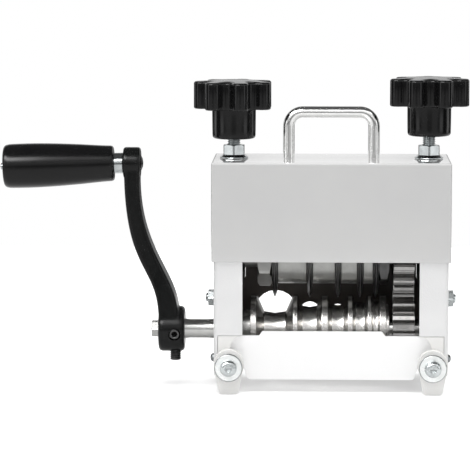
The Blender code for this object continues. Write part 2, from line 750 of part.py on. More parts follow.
def add_drive():
    """The cranked shaft with its roller and gear."""
    end = WEB_FACE + 1.5
    radius = DRIVE_SHAFT_RADIUS
    collar_left = -(WEB_FACE - GAP - BEARING_FLANGE - GAP)
    collar_right = ROLLER_LEFT - GAP
    profile = [
        (0, end), (radius - 0.6, end), (radius, end - 0.6), (radius, collar_right),
        (13.0, collar_right), (13.0, collar_left + 8), (9.0, collar_left + 8), (9.0, collar_left),
        (radius, collar_left), (radius, -BODY_HALF_WIDTH - 1.0), (radius - SHAFT_WAIST, -BODY_HALF_WIDTH - 4.0),
        (radius - SHAFT_WAIST, HUB_RIGHT + 3.0), (radius, HUB_RIGHT + 1.0),
        (radius, HUB_LEFT + 0.4), (0, HUB_LEFT + 0.4),
    ]
    shaft = turned("drive_shaft", profile, DRIVE, (0, 0, 0), ALONG_X, "ground_steel", ROUND)
    flats = cylinder("drive_shaft_hexagon", 5.9, HUB_LEFT + 6 - SHAFT_TIP, DRIVE,
                     ((SHAFT_TIP + HUB_LEFT + 6) / 2, 0, 0), ALONG_X, sides=6)
    soften(flats, 0.4, 1)
    join(shaft, flats)
    turned("feed_roller", roller_profile(), DRIVE, (0, 0, 0), ALONG_X, "polished_steel", LARGE_ROUND)
    # Local +X of a gear points to +Y, so a tooth at 90 degrees stands straight up
    add_gear("lower_gear", math.pi / 2 - GEAR_PHASE, radius + GAP, DRIVE, GEAR_LEFT, GEAR_RIGHT, 0.0)


def add_crank_arm():
    """A cast arm that sweeps from the hub out to the grip boss, between two curved edges."""
    # Start, two handles and end of the outer and the inner edge, as (x, height over the shaft)
    outer_edge = ((-130.2, 105.2), (-130.6, 31.5), (-107.3, 43.8), (-108.6, 2.5))
    inner_edge = ((-120.2, 105.2), (-124.0, 45.9), (-92.9, 36.7), (-96.3, 2.5))
    steps = 14
    outer, inner = (
        interpolate_bezier(*[Vector((x, 0, z)) for x, z in edge], steps) for edge in (outer_edge, inner_edge)
    )
    rings = []
    for i, (left, right) in enumerate(zip(outer, inner)):
        half_depth = ARM_BOSS_DEPTH / 2 + (ARM_HUB_DEPTH - ARM_BOSS_DEPTH) / 2 * (i / (steps - 1)) ** 3
        across = right - left
        length = across.length
        unit = across / length
        section = rounded([
            (0, -half_depth, ARM_SECTION), (length, -half_depth, ARM_SECTION),
            (length, half_depth, ARM_SECTION), (0, half_depth, ARM_SECTION),
        ], 2)
        rings.append([left + unit * u + Vector((0, v, 0)) for u, v in section])
    arm = lofted("crank_arm", rings, DRIVE, (0, 0, 0), UPRIGHT, "black_casting")
    edge = 2.0
    hub = turned("crank_hub", [
        (0, HUB_RIGHT), (HUB_RADIUS - edge, HUB_RIGHT), (HUB_RADIUS - 0.6, HUB_RIGHT - 0.6),
        (HUB_RADIUS, HUB_RIGHT - edge), (HUB_RADIUS, HUB_LEFT + edge), (HUB_RADIUS - 0.6, HUB_LEFT + 0.6),
        (HUB_RADIUS - edge, HUB_LEFT), (0, HUB_LEFT),
    ], DRIVE, (0, 0, 0), ALONG_X, None, LARGE_ROUND)
    edge = 1.6
    boss = turned("crank_boss", [
        (0, BOSS_RIGHT), (BOSS_RADIUS - edge, BOSS_RIGHT), (BOSS_RADIUS - 0.5, BOSS_RIGHT - 0.5),
        (BOSS_RADIUS, BOSS_RIGHT - edge), (BOSS_RADIUS, BOSS_LEFT + edge), (BOSS_RADIUS - 0.5, BOSS_LEFT + 0.5),
        (BOSS_RADIUS - edge, BOSS_LEFT), (0, BOSS_LEFT),
    ], DRIVE, (0, 0, CRANK_RADIUS), ALONG_X, None, ROUND)
    join(arm, hub)
    join(arm, boss)
    middle = (HUB_LEFT + HUB_RIGHT) / 2
    cut(arm, cylinder("crank_shaft_bore", DRIVE_SHAFT_RADIUS + GAP, 30, DRIVE, (middle, 0, 0), ALONG_X))
    cut(arm, cylinder("crank_spindle_bore", SPINDLE_RADIUS + GAP, 30, GRIP,
                      ((BOSS_LEFT + BOSS_RIGHT) / 2, 0, 0), ALONG_X, sides=SMALL_ROUND))
    length = 20
    for name, turn in (("front_screw_bore", FRONT_SCREW_TURN), ("lower_screw_bore", POINT_DOWN)):
        out = Euler(turn).to_matrix() @ Vector((0, 0, 3 + length / 2))
        cut(arm, cylinder(name, SET_SCREW_RADIUS + GAP, length, DRIVE,
                          (SET_SCREW_X, out.y, out.z), turn, sides=SMALL_ROUND))


def add_set_screws():
    """Two socket set screws that lock the crank hub on the shaft."""
    inner = DRIVE_SHAFT_RADIUS + GAP
    radius = SET_SCREW_RADIUS
    for name, outer, turn in (("front_set_screw", HUB_RADIUS - 0.7, FRONT_SCREW_TURN),
                              ("lower_set_screw", HUB_RADIUS + 5.6, POINT_DOWN)):
        profile = [
            (0, outer - 3), (1.7, outer - 3), (1.8, outer), (radius - 0.6, outer),
            (radius, outer - 0.6), (radius, inner + 0.9), (radius - 0.9, inner), (0, inner),
        ]
        turned(name, profile, DRIVE, (SET_SCREW_X, 0, 0), turn, "black_oxide", SMALL_ROUND)


def add_grip():
    """The turned grip and the riveted spindle that it spins on."""
    radius = SPINDLE_RADIUS
    collar_right = BOSS_LEFT - GAP
    collar_left = GRIP_RIGHT + GAP
    head_right = GRIP_LEFT - GAP
    spindle = [
        (0, BOSS_RIGHT + 1.6), (2.4, BOSS_RIGHT + 1.3), (4.8, BOSS_RIGHT + GAP), (radius, BOSS_RIGHT + GAP),
        (radius, collar_right), (6.5, collar_right), (6.5, collar_left), (radius, collar_left),
        (radius, head_right), (7.2, head_right), (7.0, head_right - 0.8), (4.0, SPINDLE_TIP + 0.4), (0, SPINDLE_TIP),
    ]
    turned("grip_spindle", spindle, GRIP, (0, 0, 0), ALONG_X, "zinc_plate", SMALL_ROUND)
    length = GRIP_RIGHT - GRIP_LEFT
    bulge = 14.0
    profile = [
        (radius + GAP, GRIP_RIGHT), (10.0, GRIP_RIGHT), (10.9, GRIP_RIGHT - 0.5), (11.2, GRIP_RIGHT - 1.6),
        (12.0, GRIP_LEFT + 0.84 * length), (13.0, GRIP_LEFT + 0.63 * length), (13.7, GRIP_LEFT + 0.43 * length),
        (bulge, GRIP_LEFT + 0.24 * length), (13.8, GRIP_LEFT + 0.09 * length), (13.5, GRIP_LEFT + 2.6),
        (12.6, GRIP_LEFT + 1.0), (10.8, GRIP_LEFT), (radius + GAP, GRIP_LEFT),
    ]
    turned("crank_grip", profile, GRIP, (0, 0, 0), ALONG_X, "black_plastic", ROUND)


def blade_profile():
    half = BLADE_THICKNESS / 2
    body = BLADE_BODY / 2
    edge = BLADE_EDGE / 2
    bore = BLADE_SHAFT_RADIUS + GAP
    return [
        (bore, half), (BLADE_STEP_RADIUS, half), (BLADE_STEP_RADIUS, body), (BLADE_BEVEL_RADIUS, body),
        (BLADE_RADIUS, edge), (BLADE_RADIUS, -edge), (BLADE_BEVEL_RADIUS, -body),
        (BLADE_STEP_RADIUS, -body), (BLADE_STEP_RADIUS, -half), (bore, -half),
    ]


def add_blade_set():
    """Blades, spacers, lock nuts and gear on the upper shaft."""
    shaft_end = BLOCK_OUTER - 2.0
    radius = BLADE_SHAFT_RADIUS
    half = BLADE_THICKNESS / 2
    first = CHANNELS[0][0] - half
    last = CHANNELS[-1][0] + half
    nut_left = first - GAP - LEFT_NUT_THICKNESS
    shoulder = [
        (0, shaft_end), (radius - 0.6, shaft_end), (radius, shaft_end - 0.6), (radius, nut_left - GAP),
        (8.6, nut_left - GAP), (8.6, -BLOCK_INNER + GAP), (radius, -BLOCK_INNER + GAP),
        (radius, -shaft_end + 0.6), (radius - 0.6, -shaft_end), (0, -shaft_end),
    ]
    turned("blade_shaft", shoulder, CARRIAGE, (0, 0, 0), ALONG_X, "ground_steel", SMALL_ROUND)
    for number, (x, _, _, _) in enumerate(CHANNELS, 1):
        turned(f"blade_{number}", blade_profile(), CARRIAGE, (x, 0, 0), ALONG_X, "tool_steel", LARGE_ROUND)
    for number, (before, after) in enumerate(zip(CHANNELS, CHANNELS[1:]), 1):
        left = before[0] + half + GAP
        right = after[0] - half - GAP
        bore = radius + GAP
        ring = [(bore, right), (SPACER_RADIUS, right), (SPACER_RADIUS, left), (bore, left)]
        turned(f"spacer_{number}", ring, CARRIAGE, (0, 0, 0), ALONG_X, "ground_steel", ROUND)
    hex_nut("left_lock_nut", LOCK_NUT_ACROSS, LEFT_NUT_THICKNESS, radius + GAP, CARRIAGE,
            (first - GAP - LEFT_NUT_THICKNESS / 2, 0, 0), PLATE_ALONG_X, "ground_steel", math.radians(30))
    hex_nut("right_lock_nut", LOCK_NUT_ACROSS, RIGHT_NUT_THICKNESS, radius + GAP, CARRIAGE,
            (last + GAP + RIGHT_NUT_THICKNESS / 2, 0, 0), PLATE_ALONG_X, "ground_steel", math.radians(17))
    half_tooth = math.pi / TEETH
    add_gear("upper_gear", -math.pi / 2 + GEAR_PHASE + half_tooth, radius + GAP, CARRIAGE, GEAR_LEFT, GEAR_RIGHT, 0.4)


def add_carriage():
    """Bearing blocks that slide in the side plates, each hung from a knob stud."""
    width = BLOCK_OUTER - BLOCK_INNER
    middle = (BLOCK_OUTER + BLOCK_INNER) / 2
    depth = 2 * (FLANGE_FACE - GAP)
    height = BLOCK_TOP - BLOCK_BOTTOM
    centre_z = (BLOCK_TOP + BLOCK_BOTTOM) / 2 - UPPER_AXIS
    slot_floor = BLOCK_TOP - 6.0 - UPPER_AXIS
    slot_roof = BLOCK_TOP - 3.0 - UPPER_AXIS
    for side, sign in SIDES:
        block = box(f"{side}_bearing_block", (width, depth, height), CARRIAGE, (sign * middle, 0, centre_z),
                    paint="ground_steel", bevel=1.0)
        cut(block, cylinder(f"{side}_block_bore", BLOCK_BEARING_RADIUS + GAP, 40, CARRIAGE, (sign * middle, 0, 0), ALONG_X))
        cut(block, box(f"{side}_button_slot", (11.0, depth + 4, slot_roof - slot_floor), CARRIAGE,
                       (sign * KNOB_OFFSET, 0, (slot_roof + slot_floor) / 2)))
        cut(block, box(f"{side}_stud_slot", (9.0, depth + 4, 8), CARRIAGE,
                       (sign * KNOB_OFFSET, 0, slot_roof + 3.9)))
        half = BEARING_WIDTH / 2
        bore = BLADE_SHAFT_RADIUS + GAP
        outer = BLOCK_BEARING_RADIUS
        ring = [(bore, half), (outer, half), (outer, -half), (bore, -half)]
        turned(f"{side}_upper_bearing", ring, CARRIAGE, (sign * middle, 0, 0), ALONG_X, "bearing_steel", ROUND)


def star_outline(inset):
    """The seven-lobed outline of a knob, drawn in by an even inset.

    Lobes and scallops are tangent arcs, so the scallop radius follows from the lobes.
    """
    half = math.pi / KNOB_LOBES
    along = LOBE_RING_RADIUS * math.cos(half)
    across = LOBE_RING_RADIUS * math.sin(half)
    bottom = SCALLOP_BOTTOM_RADIUS
    scallop = ((along - bottom) ** 2 + across ** 2 - LOBE_RADIUS ** 2) / (2 * (LOBE_RADIUS + along - bottom))
    scallop_ring = bottom + scallop
    lobe = Vector((LOBE_RING_RADIUS, 0))
    hollow = Vector((scallop_ring * math.cos(half), scallop_ring * math.sin(half)))
    spread = math.degrees(math.atan2((hollow - lobe).y, (hollow - lobe).x))
    toward = math.degrees(math.atan2((lobe - hollow).y, (lobe - hollow).x)) % 360
    sector = arc(lobe, LOBE_RADIUS - inset, -spread, spread, 4)
    sweep = 2 * (toward - (180 + math.degrees(half)))
    sector += arc(hollow, scallop + inset, toward, toward - sweep, 3)[1:-1]
    points = []
    for number in range(KNOB_LOBES):
        angle = 2 * half * number
        for x, y in sector:
            points.append((x * math.cos(angle) - y * math.sin(angle), x * math.sin(angle) + y * math.cos(angle)))
    return points


def knob_rings(phase):
    """Rings from the roof of the stud hole, round the hub and up over the star head."""
    star = star_outline(0)
    count = len(star)
    angles = [math.atan2(y, x) for x, y in star]
    turn = Matrix.Rotation(phase, 3, "Z")

    def round_ring(radius, z):
        return [turn @ Vector((radius * math.cos(a), radius * math.sin(a), z)) for a in angles]

    def star_ring(inset, z):
        outline = star_outline(inset)
        assert len(outline) == count
        return [turn @ Vector((x, y, z)) for x, y in outline]

    low, high = KNOB_HEAD_BOTTOM, KNOB_HEAD_TOP
    return [
        round_ring(STUD_RADIUS + GAP, 14), round_ring(STUD_RADIUS + GAP, 0), round_ring(11.4, 0),
        round_ring(13.0, 0.7), round_ring(13.6, 2.4), round_ring(13.9, low),
        star_ring(1.1, low), star_ring(0, low + 0.9), star_ring(0, high - 1.1),
        star_ring(0.4, high - 0.4), star_ring(1.4, high), round_ring(13.0, high + 0.6), round_ring(5.0, high + 0.8),
    ]


def add_knobs():
    """Star knobs on threaded studs whose buttons sit in the T-slots of the blocks."""
    for side, sign in SIDES:
        raised = RIGHT_KNOB_RAISE if side == "right" else 0.0
        phase = RIGHT_KNOB_PHASE if side == "right" else LEFT_KNOB_PHASE
        bottom = KNOB_HUB_BOTTOM + raised
        lofted(f"{side}_knob", knob_rings(phase), KNOBS[side], (0, 0, bottom), UPRIGHT, "black_plastic")
        top = KNOB_HUB_BOTTOM + 13.4
        button_top = BLOCK_TOP - 3.0 - GAP
        stud = [
            (0, top), (STUD_RADIUS - 0.6, top), (STUD_RADIUS, top - 0.6), (STUD_RADIUS, button_top),
            (5.0, button_top), (5.0, button_top - 2.4), (0, button_top - 2.4),
        ]
        turned(f"{side}_stud", stud, KNOBS[side], (0, 0, 0), UPRIGHT, "zinc_plate", SMALL_ROUND)


def add_stud_nuts():
    """Flanged hexagon nuts on the cover, in which the studs turn."""
    base = COVER_TOP + GAP
    sunk = 0.5
    top = STUD_NUT_FLANGE + STUD_NUT_HEIGHT
    flange_top = STUD_NUT_FLANGE + 0.6
    disc = [(0, flange_top), (6.2, flange_top), (STUD_NUT_FLANGE_RADIUS, 0.5), (STUD_NUT_FLANGE_RADIUS, 0), (0, 0)]
    for side, sign in SIDES:
        x = sign * KNOB_OFFSET
        nut = hex_nut(f"{side}_stud_nut", STUD_NUT_ACROSS, top - sunk, STUD_RADIUS / 2,
                      FRAME, (x, 0, base + (top + sunk) / 2), UPRIGHT, "zinc_plate", math.radians(30))
        join(nut, turned(f"{side}_stud_nut_flange", disc, FRAME, (x, 0, base), UPRIGHT, None, SMALL_ROUND))
        cut(nut, cylinder(f"{side}_stud_nut_bore", STUD_RADIUS + GAP, 3 * top, FRAME, (x, 0, base),
                          sides=SMALL_ROUND))


def settle(item):
    """Turn modifiers into mesh, and shade round faces smooth up to their sharp edges."""
    if item.modifiers:
        paint = item.data.materials[0]
        mesh = evaluated_mesh(item)
        mesh.materials.clear()
        mesh.materials.append(paint)
        for face in mesh.polygons:
            face.material_index = 0
        item.modifiers.clear()
        item.data = mesh
    weld(item.data)
    item.data.shade_smooth()
    item.data.set_sharp_from_angle(angle=math.radians(35))


add_side_plates()
add_bridge_plate()
add_cover()
add_carry_handle()
add_rear_guide_plate()
add_guide_fasteners()
add_lower_bearings()
add_legs()
add_feet()
add_front_guard()
add_stud_nuts()
add_drive()
add_crank_arm()
add_set_screws()
add_grip()
add_blade_set()
add_carriage()
add_knobs()

bpy.context.view_layer.update()
for part in [item for item in PARTS.objects if item.type == "MESH"]:
    settle(part)
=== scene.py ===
"""Looks of the wire stripping machine: finer pieces, finishes, lights and camera.

X runs along the shafts and the crank is at -X. Sizes in the code are
millimetres, measured from the middle of the body and from the bench, and
become metres where a mesh is made. The stage and its lamps are in metres.
"""

import json
import math

import bmesh
import bpy
from mathutils import Euler, Matrix, Vector
from mathutils.geometry import interpolate_bezier


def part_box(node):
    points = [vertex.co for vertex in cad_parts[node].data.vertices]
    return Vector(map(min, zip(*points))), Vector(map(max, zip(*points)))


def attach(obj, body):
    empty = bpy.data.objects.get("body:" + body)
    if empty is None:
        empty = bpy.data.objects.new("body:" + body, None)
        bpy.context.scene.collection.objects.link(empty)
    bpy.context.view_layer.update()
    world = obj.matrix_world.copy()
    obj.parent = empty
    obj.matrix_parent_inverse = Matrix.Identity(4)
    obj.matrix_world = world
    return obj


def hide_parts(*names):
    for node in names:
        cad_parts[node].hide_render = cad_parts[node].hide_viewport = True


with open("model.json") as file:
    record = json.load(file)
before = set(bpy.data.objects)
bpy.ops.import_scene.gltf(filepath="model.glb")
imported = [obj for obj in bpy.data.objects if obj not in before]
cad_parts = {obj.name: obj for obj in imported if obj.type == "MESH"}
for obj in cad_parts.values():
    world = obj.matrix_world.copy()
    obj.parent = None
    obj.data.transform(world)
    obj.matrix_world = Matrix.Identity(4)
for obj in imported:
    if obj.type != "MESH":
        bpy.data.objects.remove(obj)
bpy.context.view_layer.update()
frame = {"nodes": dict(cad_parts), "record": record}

MM = 0.001
NODES = frame["nodes"]
RECORD = frame["record"]
BODY_OF = {
    node: body
    for body, members in RECORD["behaviour"]["bodies"].items()
    for node in members
}
SLOT_OF = {row["node"]: row["material_slot"] for row in RECORD["subparts"]}
JOINTS = {joint["name"]: joint for joint in RECORD["behaviour"]["joints"]}


def middle(node):
    low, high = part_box(node)
    return (low + high) / 2


BODY_X = middle("top_cover").x


def extent(node, axis):
    """The lowest and highest coordinate of a CAD node, in this script's millimetres."""
    low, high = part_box(node)
    shift = BODY_X if axis == 0 else 0.0
    return (low[axis] - shift) / MM, (high[axis] - shift) / MM


def distances(node, axis):
    """How far the near and the far end of a CAD node are from the middle plane of an axis."""
    return sorted(abs(value) for value in extent(node, axis))


LOWER_AXIS = middle("feed_roller").z / MM
UPPER_AXIS = middle("blade_1").z / MM
SIDES = (("left", -1), ("right", 1))
SHEET = 2.5
WEB_OUTER = extent("right_side_plate", 0)[1]
BODY_REAR = extent("right_side_plate", 1)[1]

# Turns of a piece whose local Z is its axis
ALONG_X = (0, math.pi / 2, 0)
UPRIGHT = (0, 0, 0)
POINT_DOWN = (math.pi, 0, 0)
FACE_FRONT = (math.pi / 2, 0, 0)
FACE_REAR = (-math.pi / 2, 0, 0)
FACE_SIDE = {side: (0, sign * math.pi / 2, 0) for side, sign in SIDES}

# Materials, with scales in features per metre and depths in millimetres

NOISE_ROUGHNESS = 0.55
NOISE_LOW, NOISE_HIGH = 0.3, 0.7
DRIFT_SCALE = 28
MOTTLE_SCALE = 240
WEAR_SCALE = 130
CLOUD_SCALE = 170
LATHE_MARK_SCALE = 5200
COAT_ROUGHNESS = 0.05


def noise(tree, scale, detail):
    """Noise in object coordinates. The scale is one number, or one for each axis."""
    coordinates = tree.nodes.new("ShaderNodeTexCoord")
    mapping = tree.nodes.new("ShaderNodeMapping")
    mapping.inputs["Scale"].default_value = scale if isinstance(scale, tuple) else (scale, scale, scale)
    tree.links.new(coordinates.outputs["Object"], mapping.inputs["Vector"])
    texture = tree.nodes.new("ShaderNodeTexNoise")
    texture.inputs["Scale"].default_value = 1.0
    texture.inputs["Detail"].default_value = detail
    texture.inputs["Roughness"].default_value = NOISE_ROUGHNESS
    tree.links.new(mapping.outputs["Vector"], texture.inputs["Vector"])
    return texture.outputs["Fac"]


def spread(tree, value, low, high):
    """Maps the usable range of a noise to low..high."""
    node = tree.nodes.new("ShaderNodeMapRange")
    node.inputs["From Min"].default_value = NOISE_LOW
    node.inputs["From Max"].default_value = NOISE_HIGH
    node.inputs["To Min"].default_value = low
    node.inputs["To Max"].default_value = high
    tree.links.new(value, node.inputs["Value"])
    return node.outputs["Result"]


def mixed_colour(tree, factor, first, second):
    mix = tree.nodes.new("ShaderNodeMix")
    mix.data_type = "RGBA"
    mix.inputs["A"].default_value = (*first, 1)
    mix.inputs["B"].default_value = (*second, 1)
    tree.links.new(factor, mix.inputs["Factor"])
    return mix.outputs["Result"]


def bump(tree, height, depth):
    node = tree.nodes.new("ShaderNodeBump")
    node.inputs["Distance"].default_value = depth * MM
    tree.links.new(height, node.inputs["Height"])
    return node.outputs["Normal"]


def start_material(name):
    material = bpy.data.materials.new(name)
    material.use_nodes = True
    return material, material.node_tree, material.node_tree.nodes["Principled BSDF"]


def painted(name, colour, shade, rough, grain, depth, specular, coat=0.0):
    """Paint or plastic: a slow colour drift, a faint mottle of gloss and a fine surface grain."""
    material, tree, shader = start_material(name)
    drift = spread(tree, noise(tree, DRIFT_SCALE, 2.0), 0, 1)
    tree.links.new(mixed_colour(tree, drift, colour, shade), shader.inputs["Base Color"])
    mottle = noise(tree, MOTTLE_SCALE, 4.0)
    tree.links.new(spread(tree, mottle, *rough), shader.inputs["Roughness"])
    tree.links.new(bump(tree, noise(tree, grain, 2.0), depth), shader.inputs["Normal"])
    shader.inputs["Specular IOR Level"].default_value = specular
    shader.inputs["Coat Weight"].default_value = coat
    shader.inputs["Coat Roughness"].default_value = COAT_ROUGHNESS
    return material


def vector_math(tree, operation, vector, constant=(0, 0, 0)):
    node = tree.nodes.new("ShaderNodeVectorMath")
    node.operation = operation
    node.inputs[1].default_value = constant
    tree.links.new(vector, node.inputs[0])
    return node.outputs


def ring_coordinates(tree, axis_height):
    """Coordinates of a lathe mark: the distance from an X axis at this height, and the place along it."""
    coordinates = tree.nodes.new("ShaderNodeTexCoord")
    away = vector_math(tree, "SUBTRACT", coordinates.outputs["Object"], (0, 0, axis_height * MM))["Vector"]
    flat = vector_math(tree, "MULTIPLY", away, (0, 1, 1))["Vector"]
    split = tree.nodes.new("ShaderNodeSeparateXYZ")
    tree.links.new(away, split.inputs["Vector"])
    together = tree.nodes.new("ShaderNodeCombineXYZ")
    tree.links.new(vector_math(tree, "LENGTH", flat)["Value"], together.inputs["X"])
    tree.links.new(split.outputs["X"], together.inputs["Y"])
    scale = (LATHE_MARK_SCALE, LATHE_MARK_SCALE, 1)
    return vector_math(tree, "MULTIPLY", together.outputs["Vector"], scale)["Vector"]


def start_metal(name, clouds_scale, colour, shade, rough):
    """Metal whose colour and gloss change together in soft clouds."""
    material, tree, shader = start_material(name)
    clouds = noise(tree, clouds_scale, 4.0)
    cloudy = mixed_colour(tree, spread(tree, clouds, 0, 1), colour, shade)
    tree.links.new(cloudy, shader.inputs["Base Color"])
    tree.links.new(spread(tree, clouds, *rough), shader.inputs["Roughness"])
    shader.inputs["Metallic"].default_value = 1.0
    return material, tree, shader


def turned_metal(name, axis_height, colour, shade, rough, depth):
    """Lathe-turned metal with fine rings round an X axis and cloudy wear."""
    material, tree, shader = start_metal(name, WEAR_SCALE, colour, shade, rough)
    marks = tree.nodes.new("ShaderNodeTexNoise")
    marks.noise_dimensions = "2D"
    marks.inputs["Scale"].default_value = 1.0
    marks.inputs["Detail"].default_value = 3.0
    tree.links.new(ring_coordinates(tree, axis_height), marks.inputs["Vector"])
    tree.links.new(bump(tree, marks.outputs["Fac"], depth), shader.inputs["Normal"])
    return material


def plain_metal(name, colour, shade, rough, grain, depth):
    """Plated, ground or rolled metal with a directionless or brushed grain."""
    material, tree, shader = start_metal(name, CLOUD_SCALE, colour, shade, rough)
    tree.links.new(bump(tree, noise(tree, grain, 2.0), depth), shader.inputs["Normal"])
    return material


LOOKS = {}


def grey(level):
    return level, level, level


def add_look(make, name, **settings):
    LOOKS[name] = make(name, **settings)


add_look(painted, "white_powder_coat", colour=grey(0.785), shade=(0.735, 0.735, 0.74),
         rough=(0.45, 0.55), grain=1100, depth=0.12, specular=0.3)
# The front guard's white: the same powder coat lifted to near white, a painted glare
add_look(painted, "white_with_painted_glare", colour=grey(0.97), shade=grey(0.95),
         rough=(0.45, 0.55), grain=1700, depth=0.02, specular=0.3)
add_look(painted, "grey_paint", colour=(0.60, 0.60, 0.595), shade=grey(0.575),
         rough=(0.10, 0.15), grain=1500, depth=0.001, specular=0.5, coat=1.0)
add_look(painted, "warm_grey_paint", colour=(0.83, 0.825, 0.81), shade=(0.77, 0.765, 0.75),
         rough=(0.4, 0.5), grain=1500, depth=0.015, specular=0.3)
add_look(painted, "black_plastic", colour=(0.004, 0.004, 0.0042), shade=(0.007, 0.007, 0.0072),
         rough=(0.12, 0.17), grain=900, depth=0.001, specular=0.24)
add_look(painted, "grip_plastic", colour=(0.004, 0.004, 0.0042), shade=(0.006, 0.006, 0.0062),
         rough=(0.19, 0.23), grain=900, depth=0.001, specular=0.22)
add_look(painted, "black_casting", colour=(0.003, 0.0033, 0.0033), shade=(0.005, 0.0053, 0.0053),
         rough=(0.2, 0.28), grain=700, depth=0.012, specular=0.2)
add_look(turned_metal, "polished_steel", colour=(0.57, 0.56, 0.545), shade=(0.50, 0.49, 0.475),
         rough=(0.22, 0.27), axis_height=LOWER_AXIS, depth=0.003)
add_look(plain_metal, "handle_steel", colour=(0.80, 0.80, 0.79), shade=(0.72, 0.72, 0.715),
         rough=(0.14, 0.20), grain=1500, depth=0.0004)
add_look(turned_metal, "ground_steel", colour=(0.35, 0.35, 0.34), shade=(0.30, 0.30, 0.29),
         rough=(0.36, 0.42), axis_height=UPPER_AXIS, depth=0.005)
add_look(turned_metal, "tool_steel", colour=grey(0.12), shade=grey(0.09),
         rough=(0.3, 0.38), axis_height=UPPER_AXIS, depth=0.005)
add_look(plain_metal, "gear_steel", colour=(0.37, 0.365, 0.36), shade=(0.27, 0.265, 0.26),
         rough=(0.16, 0.24), grain=(60, 2400, 2400), depth=0.006)
add_look(plain_metal, "zinc_plate", colour=(0.46, 0.485, 0.49), shade=(0.37, 0.39, 0.395),
         rough=(0.12, 0.2), grain=1400, depth=0.004)
add_look(plain_metal, "dull_zinc", colour=(0.60, 0.63, 0.635), shade=(0.44, 0.465, 0.47),
         rough=(0.2, 0.3), grain=900, depth=0.02)
# Dark zinc: the side domes' own colour, and the painted shade line round each washer's edge
add_look(plain_metal, "dark_zinc_and_edge_shade", colour=(0.26, 0.275, 0.28), shade=(0.18, 0.19, 0.195),
         rough=(0.25, 0.35), grain=900, depth=0.01)
add_look(plain_metal, "pale_zinc", colour=(0.84, 0.855, 0.85), shade=(0.74, 0.76, 0.755),
         rough=(0.25, 0.35), grain=900, depth=0.01)
add_look(plain_metal, "black_oxide", colour=grey(0.11), shade=grey(0.07),
         rough=(0.24, 0.34), grain=1400, depth=0.01)
add_look(painted, "bronze_black_sheet", colour=(0.056, 0.044, 0.035), shade=(0.074, 0.060, 0.048),
         rough=(0.4, 0.55), grain=1200, depth=0.02, specular=0.5)
add_look(turned_metal, "bearing_steel", colour=grey(0.45), shade=grey(0.38),
         rough=(0.2, 0.3), axis_height=LOWER_AXIS, depth=0.006)
add_look(plain_metal, "dark_block", colour=grey(0.10), shade=grey(0.07),
         rough=(0.35, 0.45), grain=900, depth=0.01)
add_look(turned_metal, "drive_steel", colour=(0.52, 0.52, 0.51), shade=(0.44, 0.44, 0.43),
         rough=(0.2, 0.28), axis_height=LOWER_AXIS, depth=0.005)

# Nodes whose look isn't the one named by their material slot
LOOK_OF = {
    # The front guard takes the powder coat lifted to near white: painted glare
    "front_guard": "white_with_painted_glare",
    "carry_handle": "handle_steel",
    "crank_grip": "grip_plastic",
    "drive_shaft": "drive_steel",
    "left_bearing_block": "dark_block",
    "right_bearing_block": "dark_block",
    "right_lock_nut": "dark_block",
}


def look_for(node):
    return LOOKS[LOOK_OF.get(node, SLOT_OF[node])]


# Ways to make a piece

# The radius at which a profile ends on its own axis
ON_AXIS = 0.01
# Angles in degrees
SHARP_ANGLE = 35
NUT_SHARP_ANGLE = 28
BLUNT_ANGLE = 150
EDGE_ANGLE = 40
FLAT_ANGLE = 1
# An eased corner takes at most this share of a side, and its support points lie this many times as far
EASE_REACH = 0.3
SUPPORT_REACH = 1.4
EASE_STEPS = 3
# Nuts and threads
CORNER_SHARE = 0.985
CHAMFER_SLOPE = math.tan(math.radians(30))
CHAMFER_RIM = 1.02
CHAMFER_MARGIN = 0.05
THREAD_STEPS = 8
THREAD_FLANK = 2.6
# Copies of CAD nodes
WELD_DISTANCE = 0.002
BEND_TOLERANCE = 0.2


def finish_piece(piece, node, look=None):
    """Dress a piece that stands for a CAD node: it rides, takes the slot and hides the node."""
    piece.data.materials.clear()
    piece.data.materials.append(LOOKS[look] if look else look_for(node))
    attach(piece, BODY_OF[node])
    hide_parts(node)
    return piece


def placed(place, turn):
    """The matrix from a piece's own millimetres to the frame's metres."""
    rotation = turn if isinstance(turn, Matrix) else Euler(turn).to_matrix()
    origin = Vector((BODY_X + place[0] * MM, place[1] * MM, place[2] * MM))
    return Matrix.Translation(origin) @ rotation.to_4x4() @ Matrix.Scale(MM, 4)


def add_object(name, data):
    piece = bpy.data.objects.new(name, data)
    bpy.context.scene.collection.objects.link(piece)
    return piece


def add_mesh(name, vertices, faces, place, turn, sharp_angle=SHARP_ANGLE):
    """A smooth-shaded mesh from points in a piece's own millimetres."""
    mesh = bpy.data.meshes.new(name)
    mesh.from_pydata(vertices, [], faces)
    mesh.transform(placed(place, turn))
    work = bmesh.new()
    work.from_mesh(mesh)
    bmesh.ops.recalc_face_normals(work, faces=work.faces)
    work.to_mesh(mesh)
    work.free()
    mesh.shade_smooth()
    mesh.set_sharp_from_angle(angle=math.radians(sharp_angle))
    return add_object(name, mesh)


def loop_faces(count, size, closed=False):
    """The faces over count loops of size points each: strips, and caps unless they close on themselves."""
    faces = []
    pairs = [(k, k + 1) for k in range(count - 1)]
    if closed:
        pairs.append((count - 1, 0))
    for upper, lower in pairs:
        for i in range(size):
            j = (i + 1) % size
            faces.append((upper * size + i, lower * size + i, lower * size + j, upper * size + j))
    if not closed:
        faces.append(tuple(range(size)))
        faces.append(tuple(range((count - 1) * size, count * size)))
    return faces


def value_at(quantity, angle):
    return quantity(angle) if callable(quantity) else quantity


def ring_skin(name, rings, place, turn, count=96, closed=False, sharp_angle=SHARP_ANGLE):
    """A skin over rings of (radius, height), each a number or a formula of the angle.

    An open skin is capped at both ends. A closed one runs from its last ring back to its first.
    """
    angles = [2 * math.pi * i / count for i in range(count)]
    vertices = []
    for radius, height in rings:
        for angle in angles:
            r = value_at(radius, angle)
            vertices.append((r * math.cos(angle), r * math.sin(angle), value_at(height, angle)))
    return add_mesh(name, vertices, loop_faces(len(rings), count, closed), place, turn, sharp_angle)


